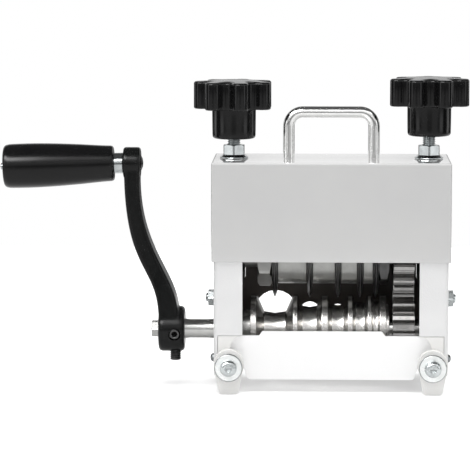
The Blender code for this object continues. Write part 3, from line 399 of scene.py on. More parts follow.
def arc(centre, radius, start, end, steps):
    """Points on an arc, from one angle to another in degrees."""
    points = []
    for i in range(steps + 1):
        angle = math.radians(start + (end - start) * i / steps)
        points.append((centre[0] + radius * math.cos(angle), centre[1] + radius * math.sin(angle)))
    return points


def eased(profile, width, closed=False):
    """A profile with each sharp corner turned into a small arc between two support points."""
    points = [Vector(point) for point in profile]
    count = len(points)
    result = []
    for i, here in enumerate(points):
        if not closed and i in (0, count - 1):
            result.append(tuple(here))
            continue
        before = points[i - 1] - here
        after = points[(i + 1) % count] - here
        if before.angle(after) > math.radians(BLUNT_ANGLE):
            result.append(tuple(here))
            continue
        reach = min(width, before.length * EASE_REACH, after.length * EASE_REACH)
        start = here + before.normalized() * reach
        end = here + after.normalized() * reach
        result.append(tuple(here + before.normalized() * reach * SUPPORT_REACH))
        for step in range(EASE_STEPS + 1):
            share = step / EASE_STEPS
            curve = start * (1 - share) ** 2 + here * 2 * share * (1 - share) + end * share ** 2
            result.append(tuple(curve))
        result.append(tuple(here + after.normalized() * reach * SUPPORT_REACH))
    return result


def lathe(node, profile, place, turn, ease, count=96, closed=False, look=None, name=None):
    """A piece turned from a profile of (radius, height), with its corners eased."""
    rings = eased(profile, ease, closed)
    piece = ring_skin(name or node + "_fine", rings, place, turn, count, closed)
    return finish_piece(piece, node, look)


def add_screw(node, rings, place, turn, count=48, look=None):
    screw = ring_skin(node + "_fine", rings, place, turn, count)
    finish_piece(screw, node, look)


def add_nut(node, rings, place, turn, count, look=None):
    nut = ring_skin(node + "_fine", rings, place, turn, count, closed=True, sharp_angle=NUT_SHARP_ANGLE)
    finish_piece(nut, node, look)


def hexagon_radius(across, phase=0.0, corner_share=CORNER_SHARE):
    """The radius of a hexagon as a formula of the angle, with its corners just blunted."""
    flat = across / 2
    corner = flat / math.cos(math.pi / 6) * corner_share

    def radius(angle):
        off = (angle - phase + math.pi / 6) % (math.pi / 3) - math.pi / 6
        off = math.pi / 6 - abs(off)
        return min(flat / math.cos(off), corner)

    return radius


def chamfer(hexagon, across):
    """Two formulas for a nut chamfered at 30 degrees: how far its edge drops, and the face's rim."""
    rim = across / 2 * CHAMFER_RIM

    def drop(angle):
        return CHAMFER_MARGIN + max(0.0, hexagon(angle) - rim) * CHAMFER_SLOPE

    def inner(angle):
        return min(rim, hexagon(angle) - CHAMFER_MARGIN)

    return drop, inner


def nut_rings(across, bottom, top, bore, phase):
    """Rings of a nut that is chamfered on both faces, from its bore round and back."""
    hexagon = hexagon_radius(across, phase)
    drop, inner = chamfer(hexagon, across)
    lead = 0.5
    return [
        (bore, top - lead), (bore + lead, top), (inner, top), (hexagon, lambda a: top - drop(a)),
        (hexagon, lambda a: bottom + drop(a)), (inner, bottom), (bore + lead, bottom), (bore, bottom + lead),
    ]


def socket_rings(across, top, depth, drill=0.6):
    """Rings of a hexagon socket, from the floor of its drilled hole out to its chamfered mouth."""
    hexagon = hexagon_radius(across, corner_share=1.0)
    mouth = across / 2 * 1.22
    lead = 0.25
    return [
        (ON_AXIS, top - depth - drill), (lambda a: hexagon(a) * 0.98, top - depth),
        (hexagon, top - lead), (mouth, top),
    ]


def thread_rings(radius, bottom, top, pitch, depth):
    """Rings of a right-hand thread from top to bottom. The crest moves up with the angle."""
    rings = []
    count = max(2, round((top - bottom) / pitch * THREAD_STEPS))
    for k in range(count + 1):
        height = top - (top - bottom) * k / count

        def local_radius(angle, height=height):
            turn = (height / pitch - angle / (2 * math.pi)) % 1.0
            flank = min(1.0, abs(turn - 0.5) * THREAD_FLANK)
            return radius - depth * (1 - flank)

        rings.append((local_radius, height))
    return rings


def bend_line(edge):
    """True for the outer vertical corners of a side plate, where the sheet is bent."""
    limit = BEND_TOLERANCE * MM
    return all(
        abs(abs(corner.co.x - BODY_X) - WEB_OUTER * MM) < limit
        and abs(abs(corner.co.y) - BODY_REAR * MM) < limit
        for corner in edge.verts
    )


def refined(node, width, segments=2, bend_width=0.0):
    """A copy of the CAD node with its seams welded and its edges rounded, its bends more than the rest."""
    widest = max(width, bend_width)
    mesh = NODES[node].data.copy()
    for attribute in ("custom_normal", "sharp_edge", "sharp_face"):
        if attribute in mesh.attributes:
            mesh.attributes.remove(mesh.attributes[attribute])
    work = bmesh.new()
    work.from_mesh(mesh)
    bmesh.ops.remove_doubles(work, verts=work.verts, dist=WELD_DISTANCE * MM)
    bmesh.ops.dissolve_limit(work, angle_limit=math.radians(FLAT_ANGLE), verts=work.verts, edges=work.edges)
    weight = work.edges.layers.float.new("bevel_weight_edge")
    for edge in work.edges:
        if len(edge.link_faces) == 2 and edge.calc_face_angle() > math.radians(EDGE_ANGLE):
            bent = bend_width > width and bend_line(edge)
            edge[weight] = 1.0 if bent else width / widest
    work.to_mesh(mesh)
    work.free()
    piece = add_object(node + "_fine", mesh)
    bevel = piece.modifiers.new("edges", "BEVEL")
    bevel.width = widest * MM
    bevel.segments = segments
    bevel.limit_method = "WEIGHT"
    bevel.harden_normals = True
    mesh.shade_smooth()
    return finish_piece(piece, node)


# Drive: roller, shaft, crank and grip

# The middle, width and floor radius of each groove, from left to right
CHANNELS = (
    (-35.2, 23.4, 11.3),
    (-13.3, 15.4, 14.8),
    (4.5, 12.7, 15.8),
    (18.4, 9.7, 17.5),
    (28.2, 5.2, 18.7),
)
FLANK_SHARE = 0.21
GROOVE_VEE = 1.0
FULL_VEE_WIDTH = 20
SHAFT_RADIUS = 6.3
SHAFT_BORE = 6.6
HUB_LEFT, HUB_RIGHT = -108.9, -92.2
HUB_RADIUS = 14.4
HUB_CORNER = 2.6
BOSS_LEFT, BOSS_RIGHT = -131.0, -120.0
BOSS_RADIUS = 9.9
BOSS_CORNER = 1.6
SET_SCREW_X = -98.4
SET_SCREW_RADIUS = 3.6
SET_SCREW_SOCKET = 3.4
SET_SCREW_PITCH = 1.25
SET_SCREW_THREAD_DEPTH = 0.8
SET_SCREW_CLEARANCE = 0.3
SET_SCREW_DIP = math.radians(8)
SET_SCREW_TURNS = {"front": (math.pi / 2 + SET_SCREW_DIP, 0, 0), "lower": POINT_DOWN}
SET_SCREW_HEADS = {"front": HUB_RADIUS - 0.7, "lower": HUB_RADIUS + 5.6}
ARM_TOP_X = -124.9
# Bezier corners of the arm's edges, as X and the height over the lower shaft
ARM_OUTER_EDGE = ((-130.2, 105.2), (-130.6, 31.5), (-107.3, 43.8), (-108.6, 2.5))
ARM_INNER_EDGE = ((-120.2, 105.2), (-124.0, 45.9), (-92.9, 36.7), (-96.3, 2.5))
ARM_STEPS = 60
ARM_HALF_TOP = 9.2
ARM_HALF_GAIN = 3.7
ARM_CORNER = 1.7
ARM_SKIN_CELL = 0.55
ARM_FILLET_STEPS = 8
ARM_SHARP_ANGLE = 50
GRIP_HEIGHT = JOINTS["grip_spin"]["pos_m"][2] / MM
GRIP_LEFT, GRIP_RIGHT = -206.3, -137.0
SPINDLE_RADIUS = 4.0
SPINDLE_TIP = -208.9
SPINDLE_GAP = 0.3


def add_roller():
    """The grooved roller with round ridge edges and a shallow V in each groove."""
    left, right = extent("feed_roller", 0)
    near, far = extent("feed_roller", 2)
    outer = (far - near) / 2
    collar, collar_width = 17.0, 1.9
    face = right - collar_width
    profile = [(collar, right), (collar, face), (outer, face)]
    for centre, width, floor in reversed(CHANNELS):
        half = width / 2
        floor_half = half * (1 - 2 * FLANK_SHARE)
        vee = GROOVE_VEE * min(1.0, width / FULL_VEE_WIDTH)
        profile += [
            (outer, centre + half), (floor, centre + floor_half), (floor - vee, centre),
            (floor, centre - floor_half), (outer, centre - half),
        ]
    profile += [(outer, left), (SHAFT_BORE, left), (SHAFT_BORE, right)]
    lathe("feed_roller", profile, (0, 0, LOWER_AXIS), ALONG_X, ease=0.3, count=160, closed=True)


def add_drive_shaft():
    """The shaft with its stepped collar beside the roller, and the hexagon end beside the hub."""
    left, right = extent("drive_shaft", 0)
    radius = SHAFT_RADIUS
    edge = 0.6
    waist = 6.0
    collar, neck = 13.0, 9.0
    collar_left, collar_right = -66.6, -50.7
    step = collar_left + 8
    cap = HUB_LEFT + 0.4
    profile = [
        (ON_AXIS, right), (radius - edge, right), (radius, right - edge), (radius, collar_right),
        (collar, collar_right), (collar, step), (neck, step), (neck, collar_left), (radius, collar_left),
        (radius, -WEB_OUTER - 1.0), (waist, -WEB_OUTER - 4.0), (waist, HUB_RIGHT + 3.0),
        (radius, HUB_RIGHT + 1.0), (radius, cap), (ON_AXIS, cap),
    ]
    lathe("drive_shaft", profile, (0, 0, LOWER_AXIS), ALONG_X, ease=0.2)
    hexagon = hexagon_radius(10.0, math.pi / 6)
    tip_edge = 0.5
    rings = [
        (hexagon, HUB_LEFT + 1.5), (hexagon, left + tip_edge),
        (lambda a: hexagon(a) - tip_edge, left), (ON_AXIS, left),
    ]
    end = ring_skin("drive_shaft_end", rings, (0, 0, LOWER_AXIS), ALONG_X, count=72)
    finish_piece(end, "drive_shaft")


def rounded_drum(radius, left, right, corner):
    """The profile of a drum from its right face to its left, with round corners."""
    profile = [(ON_AXIS, right)]
    profile += arc((radius - corner, right - corner), corner, 90, 0, 6)
    profile += arc((radius - corner, left + corner), corner, 0, -90, 6)
    return profile + [(ON_AXIS, left)]


def arm_edge(corners):
    return interpolate_bezier(*[Vector((x, 0, z)) for x, z in corners], ARM_STEPS)


def arm_bar():
    """The S-shaped bar between two Bezier edges. Its section is a rounded box, deeper towards the hub."""
    vertices = []
    for i, (left, right) in enumerate(zip(arm_edge(ARM_OUTER_EDGE), arm_edge(ARM_INNER_EDGE))):
        far = ARM_HALF_TOP + ARM_HALF_GAIN * (i / (ARM_STEPS - 1)) ** 3 - ARM_CORNER
        across = right - left
        unit = across / across.length
        length = across.length - ARM_CORNER
        for u, v, start in ((length, far, 0), (ARM_CORNER, far, 90),
                            (ARM_CORNER, -far, 180), (length, -far, 270)):
            corner = arc((u, v), ARM_CORNER, start, start + 90, 4)
            vertices += [left + unit * along + Vector((0, depth, 0)) for along, depth in corner]
    size = len(vertices) // ARM_STEPS
    return add_mesh("crank_arm_fine", vertices, loop_faces(ARM_STEPS, size), (0, 0, LOWER_AXIS), UPRIGHT)


def combine(piece, operation, tool):
    modifier = piece.modifiers.new(tool.name, "BOOLEAN")
    modifier.operation = operation
    modifier.solver = "EXACT"
    modifier.object = tool


def add_crank_arm():
    """The cast arm, hub and boss fused into one skin with soft fillets, then bored."""
    arm = arm_bar()
    hub = rounded_drum(HUB_RADIUS, HUB_LEFT, HUB_RIGHT, HUB_CORNER)
    boss = rounded_drum(BOSS_RADIUS, BOSS_LEFT, BOSS_RIGHT, BOSS_CORNER)
    tools = [
        ring_skin("crank_hub", hub, (0, 0, LOWER_AXIS), ALONG_X),
        ring_skin("crank_boss", boss, (0, 0, GRIP_HEIGHT), ALONG_X),
    ]
    for tool in tools:
        combine(arm, "UNION", tool)
    remesh = arm.modifiers.new("skin", "REMESH")
    remesh.mode = "VOXEL"
    remesh.voxel_size = ARM_SKIN_CELL * MM
    remesh.use_smooth_shade = True
    relax = arm.modifiers.new("fillets", "SMOOTH")
    relax.factor = 0.5
    relax.iterations = ARM_FILLET_STEPS
    bore_rings = [(SHAFT_BORE, HUB_RIGHT + 3), (SHAFT_BORE, HUB_LEFT - 3)]
    bores = [ring_skin("crank_bore", bore_rings, (0, 0, LOWER_AXIS), ALONG_X, count=64)]
    radius = SET_SCREW_RADIUS + SET_SCREW_CLEARANCE
    rings = [(radius, 20), (radius, 4)]
    for name, turn in SET_SCREW_TURNS.items():
        bores.append(ring_skin(f"crank_{name}_bore", rings, (SET_SCREW_X, 0, LOWER_AXIS), turn, count=48))
    for bore in bores:
        combine(arm, "DIFFERENCE", bore)
    depsgraph = bpy.context.evaluated_depsgraph_get()
    baked = bpy.data.meshes.new_from_object(arm.evaluated_get(depsgraph))
    arm.modifiers.clear()
    arm.data = baked
    baked.shade_smooth()
    baked.set_sharp_from_angle(angle=math.radians(ARM_SHARP_ANGLE))
    for tool in tools + bores:
        bpy.data.objects.remove(tool)
    finish_piece(arm, "crank_arm")


def add_set_screws():
    """Two socket set screws. The lower one stands proud and shows its thread."""
    radius = SET_SCREW_RADIUS
    thread_bottom, bottom = 8.6, 7.0
    edge = 0.6
    for name, turn in SET_SCREW_TURNS.items():
        node = f"{name}_set_screw"
        outer = SET_SCREW_HEADS[name]
        rings = socket_rings(SET_SCREW_SOCKET, outer, depth=2.6, drill=1.8)
        rings += [(radius - 0.7, outer), (radius - 0.1, outer - edge)]
        rings += thread_rings(radius, thread_bottom, outer - edge, SET_SCREW_PITCH, SET_SCREW_THREAD_DEPTH)
        rings += [(radius - 0.9, bottom), (ON_AXIS, bottom)]
        add_screw(node, rings, (SET_SCREW_X, 0, LOWER_AXIS), turn)


def add_grip():
    """The turned grip, the plated spindle with its collar and head, and the black rivet head."""
    axis = Vector(JOINTS["grip_spin"]["axis"])
    tilt = Euler((0, -math.asin(axis.z), 0)).to_matrix()
    turn = tilt @ Euler(ALONG_X).to_matrix()
    place = Vector((ARM_TOP_X, 0, GRIP_HEIGHT)) - tilt @ Vector((ARM_TOP_X, 0, 0))
    radius = SPINDLE_RADIUS
    collar = 6.5
    start = BOSS_RIGHT + 0.1
    collar_right = BOSS_LEFT - SPINDLE_GAP
    collar_left = GRIP_RIGHT + SPINDLE_GAP
    head = GRIP_LEFT - SPINDLE_GAP
    spindle = [
        (ON_AXIS, start), (radius, start), (radius, collar_right), (collar, collar_right),
        (collar, collar_left), (radius, collar_left), (radius, head), (4.6, head), (4.4, head - 0.5),
        (2.0, head - 0.7), (1.9, SPINDLE_TIP + 0.4), (ON_AXIS, SPINDLE_TIP),
    ]
    lathe("grip_spindle", spindle, place, turn, ease=0.25, count=64)
    rivet_radius = 4.7
    rivet = [
        (ON_AXIS, BOSS_RIGHT + 1.6), (2.4, BOSS_RIGHT + 1.3), (rivet_radius, BOSS_RIGHT + 0.4),
        (rivet_radius, BOSS_RIGHT + 0.2), (ON_AXIS, BOSS_RIGHT + 0.2),
    ]
    lathe("grip_spindle", rivet, place, turn, ease=0.3, count=48, look="black_casting", name="grip_rivet")
    length = GRIP_RIGHT - GRIP_LEFT
    # Share of the length from the left end, and the radius there
    outline = (
        (0.97, 11.25), (0.9, 11.5), (0.8, 12.05), (0.7, 12.6), (0.6, 13.05), (0.5, 13.45),
        (0.4, 13.75), (0.3, 13.95), (0.22, 14.0), (0.14, 13.97), (0.08, 13.9), (0.05, 13.8),
    )
    bore = SPINDLE_RADIUS + SPINDLE_GAP
    profile = [(bore, GRIP_RIGHT), (10.0, GRIP_RIGHT), (10.8, GRIP_RIGHT - 0.4), (11.15, GRIP_RIGHT - 1.3)]
    profile += [(radius, GRIP_LEFT + share * length) for share, radius in outline]
    profile += [(13.4, GRIP_LEFT + 1.6), (12.8, GRIP_LEFT + 0.6), (11.8, GRIP_LEFT), (bore, GRIP_LEFT)]
    lathe("crank_grip", profile, place, turn, ease=0.3, count=128, closed=True)


# Blade set

BLADE_BORE = 6.3
BLADE_RADIUS = 27.4
BLADE_HUB_RADIUS = 20.6
BLADE_BEVEL_START = 24.2
SPACER_RADIUS = 18.6
LOCK_NUT_ACROSS = 36.0
# How far each lock nut is turned, seen along X from its local +Y, as in the CAD
LOCK_NUT_TURNS = {"left_lock_nut": 30, "right_lock_nut": 17}


def add_blades():
    """The round blades, each with a hub and a bevelled edge, and the spacers between them."""
    half = 1.6
    body = 1.35
    edge = 0.12
    profile = [
        (BLADE_BORE, half), (BLADE_HUB_RADIUS, half), (BLADE_HUB_RADIUS, body),
        (BLADE_BEVEL_START, body), (BLADE_RADIUS, edge), (BLADE_RADIUS, -edge), (BLADE_BEVEL_START, -body),
        (BLADE_HUB_RADIUS, -body), (BLADE_HUB_RADIUS, -half), (BLADE_BORE, -half),
    ]
    for number, (x, _, _) in enumerate(CHANNELS, 1):
        lathe(f"blade_{number}", profile, (x, 0, UPPER_AXIS), ALONG_X, ease=0.08, count=160, closed=True)
    for number in range(1, len(CHANNELS)):
        left, right = extent(f"spacer_{number}", 0)
        ring = [(BLADE_BORE, right), (SPACER_RADIUS, right), (SPACER_RADIUS, left), (BLADE_BORE, left)]
        lathe(f"spacer_{number}", ring, (0, 0, UPPER_AXIS), ALONG_X, ease=0.25, count=128, closed=True)


def add_lock_nuts():
    """The large nuts at both ends of the blade stack."""
    for node, degrees in LOCK_NUT_TURNS.items():
        left, right = extent(node, 0)
        phase = math.pi / 2 - math.radians(degrees)
        rings = nut_rings(LOCK_NUT_ACROSS, left, right, BLADE_BORE, phase)
        add_nut(node, rings, (0, 0, UPPER_AXIS), ALONG_X, count=120)


# Knobs, studs and their nuts

KNOB_X = abs(middle("left_stud").x - BODY_X) / MM
LOBES = 7
LOBE_RING = 20.15
LOBE_RADIUS = 5.1
LOBE_STEPS = 16
SCALLOP_BOTTOM = 17.0
SCALLOP_STEPS = 12
# Heights over the bottom of the knob
HEAD_BOTTOM = 18.6
HEAD_TOP = 35.9
HEAD_EDGE = 1.1
HEAD_CROWN = 1.5
# How far each star is turned, as in the photo
KNOB_TURNS = {"left": math.radians(-77), "right": math.radians(90)}
STUD_RADIUS = 4.0
STUD_BORE = STUD_RADIUS + 0.3
STUD_PITCH = 1.25
STUD_THREAD_DEPTH = 0.62
STUD_NUT_ACROSS = 13.0


def degrees_of(vector):
    return math.degrees(math.atan2(vector.y, vector.x))


def star_outline(inset):
    """The lobed outline of a knob, drawn in by an even inset. Lobes and scallops are tangent arcs."""
    half = math.pi / LOBES
    along = LOBE_RING * math.cos(half)
    across = LOBE_RING * math.sin(half)
    scallop = (along - SCALLOP_BOTTOM) ** 2 + across ** 2 - LOBE_RADIUS ** 2
    scallop /= 2 * (LOBE_RADIUS + along - SCALLOP_BOTTOM)
    lobe = Vector((LOBE_RING, 0))
    hollow = Vector((math.cos(half), math.sin(half))) * (SCALLOP_BOTTOM + scallop)
    lobe_angle = degrees_of(hollow - lobe)
    toward = degrees_of(lobe - hollow) % 360
    sweep = 2 * (toward - (180 + math.degrees(half)))
    sector = arc(lobe, LOBE_RADIUS - inset, -lobe_angle, lobe_angle, LOBE_STEPS)
    sector += arc(hollow, scallop + inset, toward, toward - sweep, SCALLOP_STEPS)[1:-1]
    points = []
    for number in range(LOBES):
        angle = 2 * half * number
        cosine, sine = math.cos(angle), math.sin(angle)
        points += [(x * cosine - y * sine, x * sine + y * cosine) for x, y in sector]
    return points


def add_knob(side, sign):
    """A moulded star knob: hub, rounded star head and a shallow domed top."""
    angles = [math.atan2(y, x) for x, y in star_outline(0)]
    loops = []

    def add_round(*circles):
        for radius, height in circles:
            loops.append([(radius * math.cos(a), radius * math.sin(a), height) for a in angles])

    def add_star(inset, height):
        loops.append([(x, y, height) for x, y in star_outline(inset)])

    low, high = HEAD_BOTTOM, HEAD_TOP
    lead = 0.6
    add_round(
        (STUD_BORE, 14), (STUD_BORE, lead), (STUD_BORE + lead, 0), (11.8, 0), (12.5, 0.15), (13.05, 0.55),
        (13.4, 1.2), (13.55, 2.1), (13.65, 6), (13.75, low - 0.8), (13.9, low),
    )
    for x, y in arc((0, 0), HEAD_EDGE, 0, 90, 4):
        add_star(HEAD_EDGE - y, low + HEAD_EDGE - x)
    for x, y in arc((0, 0), HEAD_CROWN, 0, 90, 6):
        add_star(HEAD_CROWN - x, high - HEAD_CROWN + y)
    add_star(HEAD_CROWN + 0.5, high + 0.05)
    add_round((14.6, high + 0.35), (12.5, high + 0.55), (5, high + 0.75), (0.05, high + 0.78))
    vertices = [point for loop in loops for point in loop]
    place = (sign * KNOB_X, 0, extent(f"{side}_knob", 2)[0])
    turn = (0, 0, KNOB_TURNS[side])
    knob = add_mesh(f"{side}_knob_fine", vertices, loop_faces(len(loops), len(angles)), place, turn)
    finish_piece(knob, f"{side}_knob")


def add_stud(side, sign):
    """The threaded stud: its thread is cut where it can be seen, above and below the nut."""
    radius = STUD_RADIUS
    bottom, top = extent(f"{side}_stud", 2)
    thread_bottom, thread_top = 138.0, 161.0
    runout = 0.2
    edge = 0.6
    flange, flange_radius = bottom + 2.4, 5.0
    rings = [
        (ON_AXIS, top), (radius - edge, top), (radius, top - edge), (radius, thread_top + runout),
    ]
    rings += thread_rings(radius, thread_bottom, thread_top, STUD_PITCH, STUD_THREAD_DEPTH)
    rings += [
        (radius, thread_bottom - runout), (radius, flange), (flange_radius, flange),
        (flange_radius, bottom), (ON_AXIS, bottom),
    ]
    add_screw(f"{side}_stud", rings, (sign * KNOB_X, 0, 0), UPRIGHT)


def add_stud_nut(side, sign):
    """A flanged nut, its hexagon chamfered above and running into the flange below."""
    bottom, top = extent(f"{side}_stud_nut", 2)
    hexagon = hexagon_radius(STUD_NUT_ACROSS, math.radians(30))
    drop, inner = chamfer(hexagon, STUD_NUT_ACROSS)
    lead = 0.6
    rings = [
        (STUD_BORE, top - lead), (STUD_BORE + lead, top), (inner, top), (hexagon, lambda a: top - drop(a)),
        (hexagon, bottom + 2.2), (lambda a: hexagon(a) + 0.35, bottom + 1.8), (8.4, bottom + 0.95),
        (8.9, bottom + 0.55), (9.0, bottom + 0.25), (8.95, bottom), (STUD_BORE, bottom),
    ]
    add_nut(f"{side}_stud_nut", rings, (sign * KNOB_X, 0, 0), UPRIGHT, count=120)


# Frame pieces

SHEET_EDGE = 0.25
SHEET_BEND = 2.0
BRACKET_EDGE = 0.45
GEAR_EDGE = 0.3
WASHER_RADIUS = 8.6
WASHER_BORE = 3.3
WASHER_EDGE = 0.4
FOOT_SCREW_RADIUS = 3.0
FOOT_SCREW_SOCKET = 3.6
GUIDE_SCREW_RADIUS = 3.0
GUIDE_SCREW_PITCH = 1.0
GUIDE_THREAD_DEPTH = 0.5
GUIDE_NUT_ACROSS = 10.0
DOME_RADIUS = 2.9
DOME_HEIGHT = 17.0


def add_handle():
    """The bent round bar of the carry handle, with a fine round section."""
    low, high = extent("carry_handle", 0)
    bottom, top = extent("carry_handle", 2)
    radius = 3.6
    bend = 8.7
    leg_steps, bend_steps, count = 6, 20, 40
    leg = (high - low) / 2 - radius
    centre = top - radius - bend
    rise = (centre - bottom) / leg_steps
    route = [(-leg, bottom + rise * k) for k in range(leg_steps)]
    route += arc((bend - leg, centre), bend, 180, 90, bend_steps)
    route += arc((leg - bend, centre), bend, 90, 0, bend_steps)
    route += [(leg, centre - rise * k) for k in range(1, leg_steps + 1)]
    route = [Vector((x, 0, z)) for x, z in route]
    vertices = []
    for i, point in enumerate(route):
        along = (route[min(i + 1, len(route) - 1)] - route[max(i - 1, 0)]).normalized()
        across = Vector((0, 1, 0)).cross(along)
        for k in range(count):
            angle = 2 * math.pi * k / count
            sideways = Vector((0, radius * math.sin(angle), 0))
            vertices.append(point + across * radius * math.cos(angle) + sideways)
    handle = add_mesh("carry_handle_fine", vertices, loop_faces(len(route), count), (0, 0, 0), UPRIGHT)
    finish_piece(handle, "carry_handle")


def add_foot_fasteners():
    """Button-head socket screws and the large washers under them, each washer ringed by a thin dark ring of
    painted edge shade.
    """
    shank = FOOT_SCREW_RADIUS
    for side, _ in SIDES:
        for end, turn in (("front", FACE_FRONT), ("rear", FACE_REAR)):
            washer = f"{end}_{side}_foot_washer"
            place = ((middle(washer).x - BODY_X) / MM, 0, middle(washer).z / MM)
            inner, outer = distances(washer, 1)
            ring = [
                (WASHER_BORE, outer), (WASHER_RADIUS - WASHER_EDGE, outer),
                (WASHER_RADIUS, outer - WASHER_EDGE), (WASHER_RADIUS, inner), (WASHER_BORE, inner),
            ]
            lathe(washer, ring, place, turn, ease=0.2, count=72, closed=True, look="pale_zinc")
            # A thin dark ring round the washer's edge: painted shade of the edge
            rim_radius = WASHER_RADIUS + 0.03
            rim = [
                (WASHER_RADIUS - 0.3, outer + 0.03), (rim_radius, outer - 0.3),
                (rim_radius, inner + 0.3), (WASHER_RADIUS - 0.3, inner + 0.3),
            ]
            name = washer + "_painted_edge_shade"
            lathe(washer, rim, place, turn, ease=0.05, count=72, closed=True, look="dark_zinc_and_edge_shade", name=name)
            screw = f"{end}_{side}_foot_screw"
            back, tip = distances(screw, 1)
            head = outer + 0.3
            rings = socket_rings(FOOT_SCREW_SOCKET, tip, depth=2.0)
            rings += [
                (2.9, tip), (3.5, tip - 0.12), (4.2, tip - 0.5), (4.8, tip - 1.15), (5.15, tip - 1.9),
                (5.25, head + 0.3), (5.1, head), (shank, head), (shank, back), (ON_AXIS, back),
            ]
            add_screw(screw, rings, place, turn, count=72, look="dull_zinc")


def add_guide_fasteners():
    """The nuts outside the side plates and the screw ends in them."""
    radius = GUIDE_SCREW_RADIUS
    for side, turn in FACE_SIDE.items():
        node = f"{side}_guide_nut"
        place = (0, middle(node).y / MM, middle(node).z / MM)
        inner, outer = distances(node, 0)
        rings = nut_rings(GUIDE_NUT_ACROSS, inner, outer, radius + 0.3, math.radians(30))
        add_nut(node, rings, place, turn, count=72, look="dull_zinc")
        node = f"{side}_guide_screw"
        inner, outer = distances(node, 0)
        rings = [(ON_AXIS, outer), (radius - 0.7, outer)]
        rings += thread_rings(radius, WEB_OUTER - SHEET, outer - 0.6, GUIDE_SCREW_PITCH, GUIDE_THREAD_DEPTH)
        rings += [
            (radius, inner + 3.4), (5.0, inner + 3.2), (5.0, inner + 1.0), (3.6, inner), (ON_AXIS, inner),
        ]
        add_screw(node, rings, place, turn, look="dull_zinc")


def add_side_domes():
    """The domed end of the rivet that holds each leg bracket to its side plate."""
    face = WEB_OUTER
    profile = [
        (ON_AXIS, face + 3.3), (1.2, face + 3.15), (2.1, face + 2.6), (2.7, face + 1.7),
        (DOME_RADIUS, face + 0.6), (DOME_RADIUS, face), (ON_AXIS, face),
    ]
    for side, turn in FACE_SIDE.items():
        dome = ring_skin(f"{side}_dome", eased(profile, 0.2), (0, 0, DOME_HEIGHT), turn, count=48)
        dome.data.materials.append(LOOKS["dark_zinc_and_edge_shade"])
        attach(dome, "frame")


for name, item in NODES.items():
    item.data.materials.clear()
    item.data.materials.append(look_for(name))

for name in NODES:
    if "side_plate" in name:
        refined(name, SHEET_EDGE, segments=3, bend_width=SHEET_BEND)
    elif name in ("front_guard", "rear_guide_plate"):
        refined(name, SHEET_EDGE)
    elif name.endswith("_foot") or "leg_bracket" in name:
        refined(name, BRACKET_EDGE, segments=3)
    elif name.endswith("_gear"):
        refined(name, GEAR_EDGE)

add_roller()
add_drive_shaft()
add_crank_arm()
add_set_screws()
add_grip()
add_blades()
add_lock_nuts()
for side, sign in SIDES:
    add_knob(side, sign)
    add_stud(side, sign)
    add_stud_nut(side, sign)
add_handle()
add_foot_fasteners()
add_guide_fasteners()
add_side_domes()

# Stage, light and camera

FLOOR_HALF = 0.7
FLOOR_DROP = 0.1 * MM
FLOOR_GLOW = 0.5
SOFT_BASE = 0.14
SOFT_FRONT = 0.67
DIM_BASE = 0.03
DIM_RISE = 0.12
PANEL_LEVEL = 0.8
PICTURE_WIDTH = 470
FOCAL_PIXELS = 2713
SENSOR_WIDTH = 36.0
CLIP_END = 100.0
CAMERA_PLACE = Vector((BODY_X - 4 * MM, -1700 * MM, 301 * MM))
CAMERA_AIM = Vector((BODY_X - 60.6 * MM, 0, 95.25 * MM))
LAMP_TARGET = Vector((0, 0, 90 * MM))


def arithmetic(tree, operation, first, second):
    node = tree.nodes.new("ShaderNodeMath")
    node.operation = operation
    for socket, value in zip(node.inputs, (first, second)):
        if isinstance(value, (int, float)):
            socket.default_value = value
        else:
            tree.links.new(value, socket)
    return node.outputs["Value"]


def stage_floor():
    """A small pale bench top. It is lifted to white for the camera and keeps a soft contact shadow."""
    mesh = bpy.data.meshes.new("floor")
    corners = [(x * FLOOR_HALF, y * FLOOR_HALF, 0) for x, y in ((-1, -1), (1, -1), (1, 1), (-1, 1))]
    mesh.from_pydata(corners, [], [(0, 1, 2, 3)])
    floor = add_object("floor", mesh)
    floor.location.z = -FLOOR_DROP
    material, tree, shader = start_material("floor_white")
    pale = mixed_colour(tree, noise(tree, 60, 2.0), grey(0.86), grey(0.88))
    tree.links.new(pale, shader.inputs["Base Color"])
    shader.inputs["Roughness"].default_value = 0.9
    shader.inputs["Specular IOR Level"].default_value = 0.0
    path = tree.nodes.new("ShaderNodeLightPath")
    glow = arithmetic(tree, "MULTIPLY", path.outputs["Is Camera Ray"], FLOOR_GLOW)
    tree.links.new(glow, shader.inputs["Emission Strength"])
    shader.inputs["Emission Color"].default_value = (*grey(1), 1)
    mesh.materials.append(material)


def step_between(tree, value, low, high):
    """A smooth step of a direction's part, from 0 at low to 1 at high."""
    node = tree.nodes.new("ShaderNodeMapRange")
    node.interpolation_type = "SMOOTHSTEP"
    node.inputs["From Min"].default_value = low
    node.inputs["From Max"].default_value = high
    tree.links.new(value, node.inputs["Value"])
    return node.outputs["Result"]


def panel(tree, parts, strength, *limits):
    """A soft-edged bright panel of the studio, between limits of the direction's parts.

    Each limit is (part, start, full, full end, end).
    """
    total = strength
    for part, start, full, full_end, end in limits:
        rise = step_between(tree, parts[part], start, full)
        fall = step_between(tree, parts[part], end, full_end)
        total = arithmetic(tree, "MULTIPLY", total, arithmetic(tree, "MULTIPLY", rise, fall))
    return total


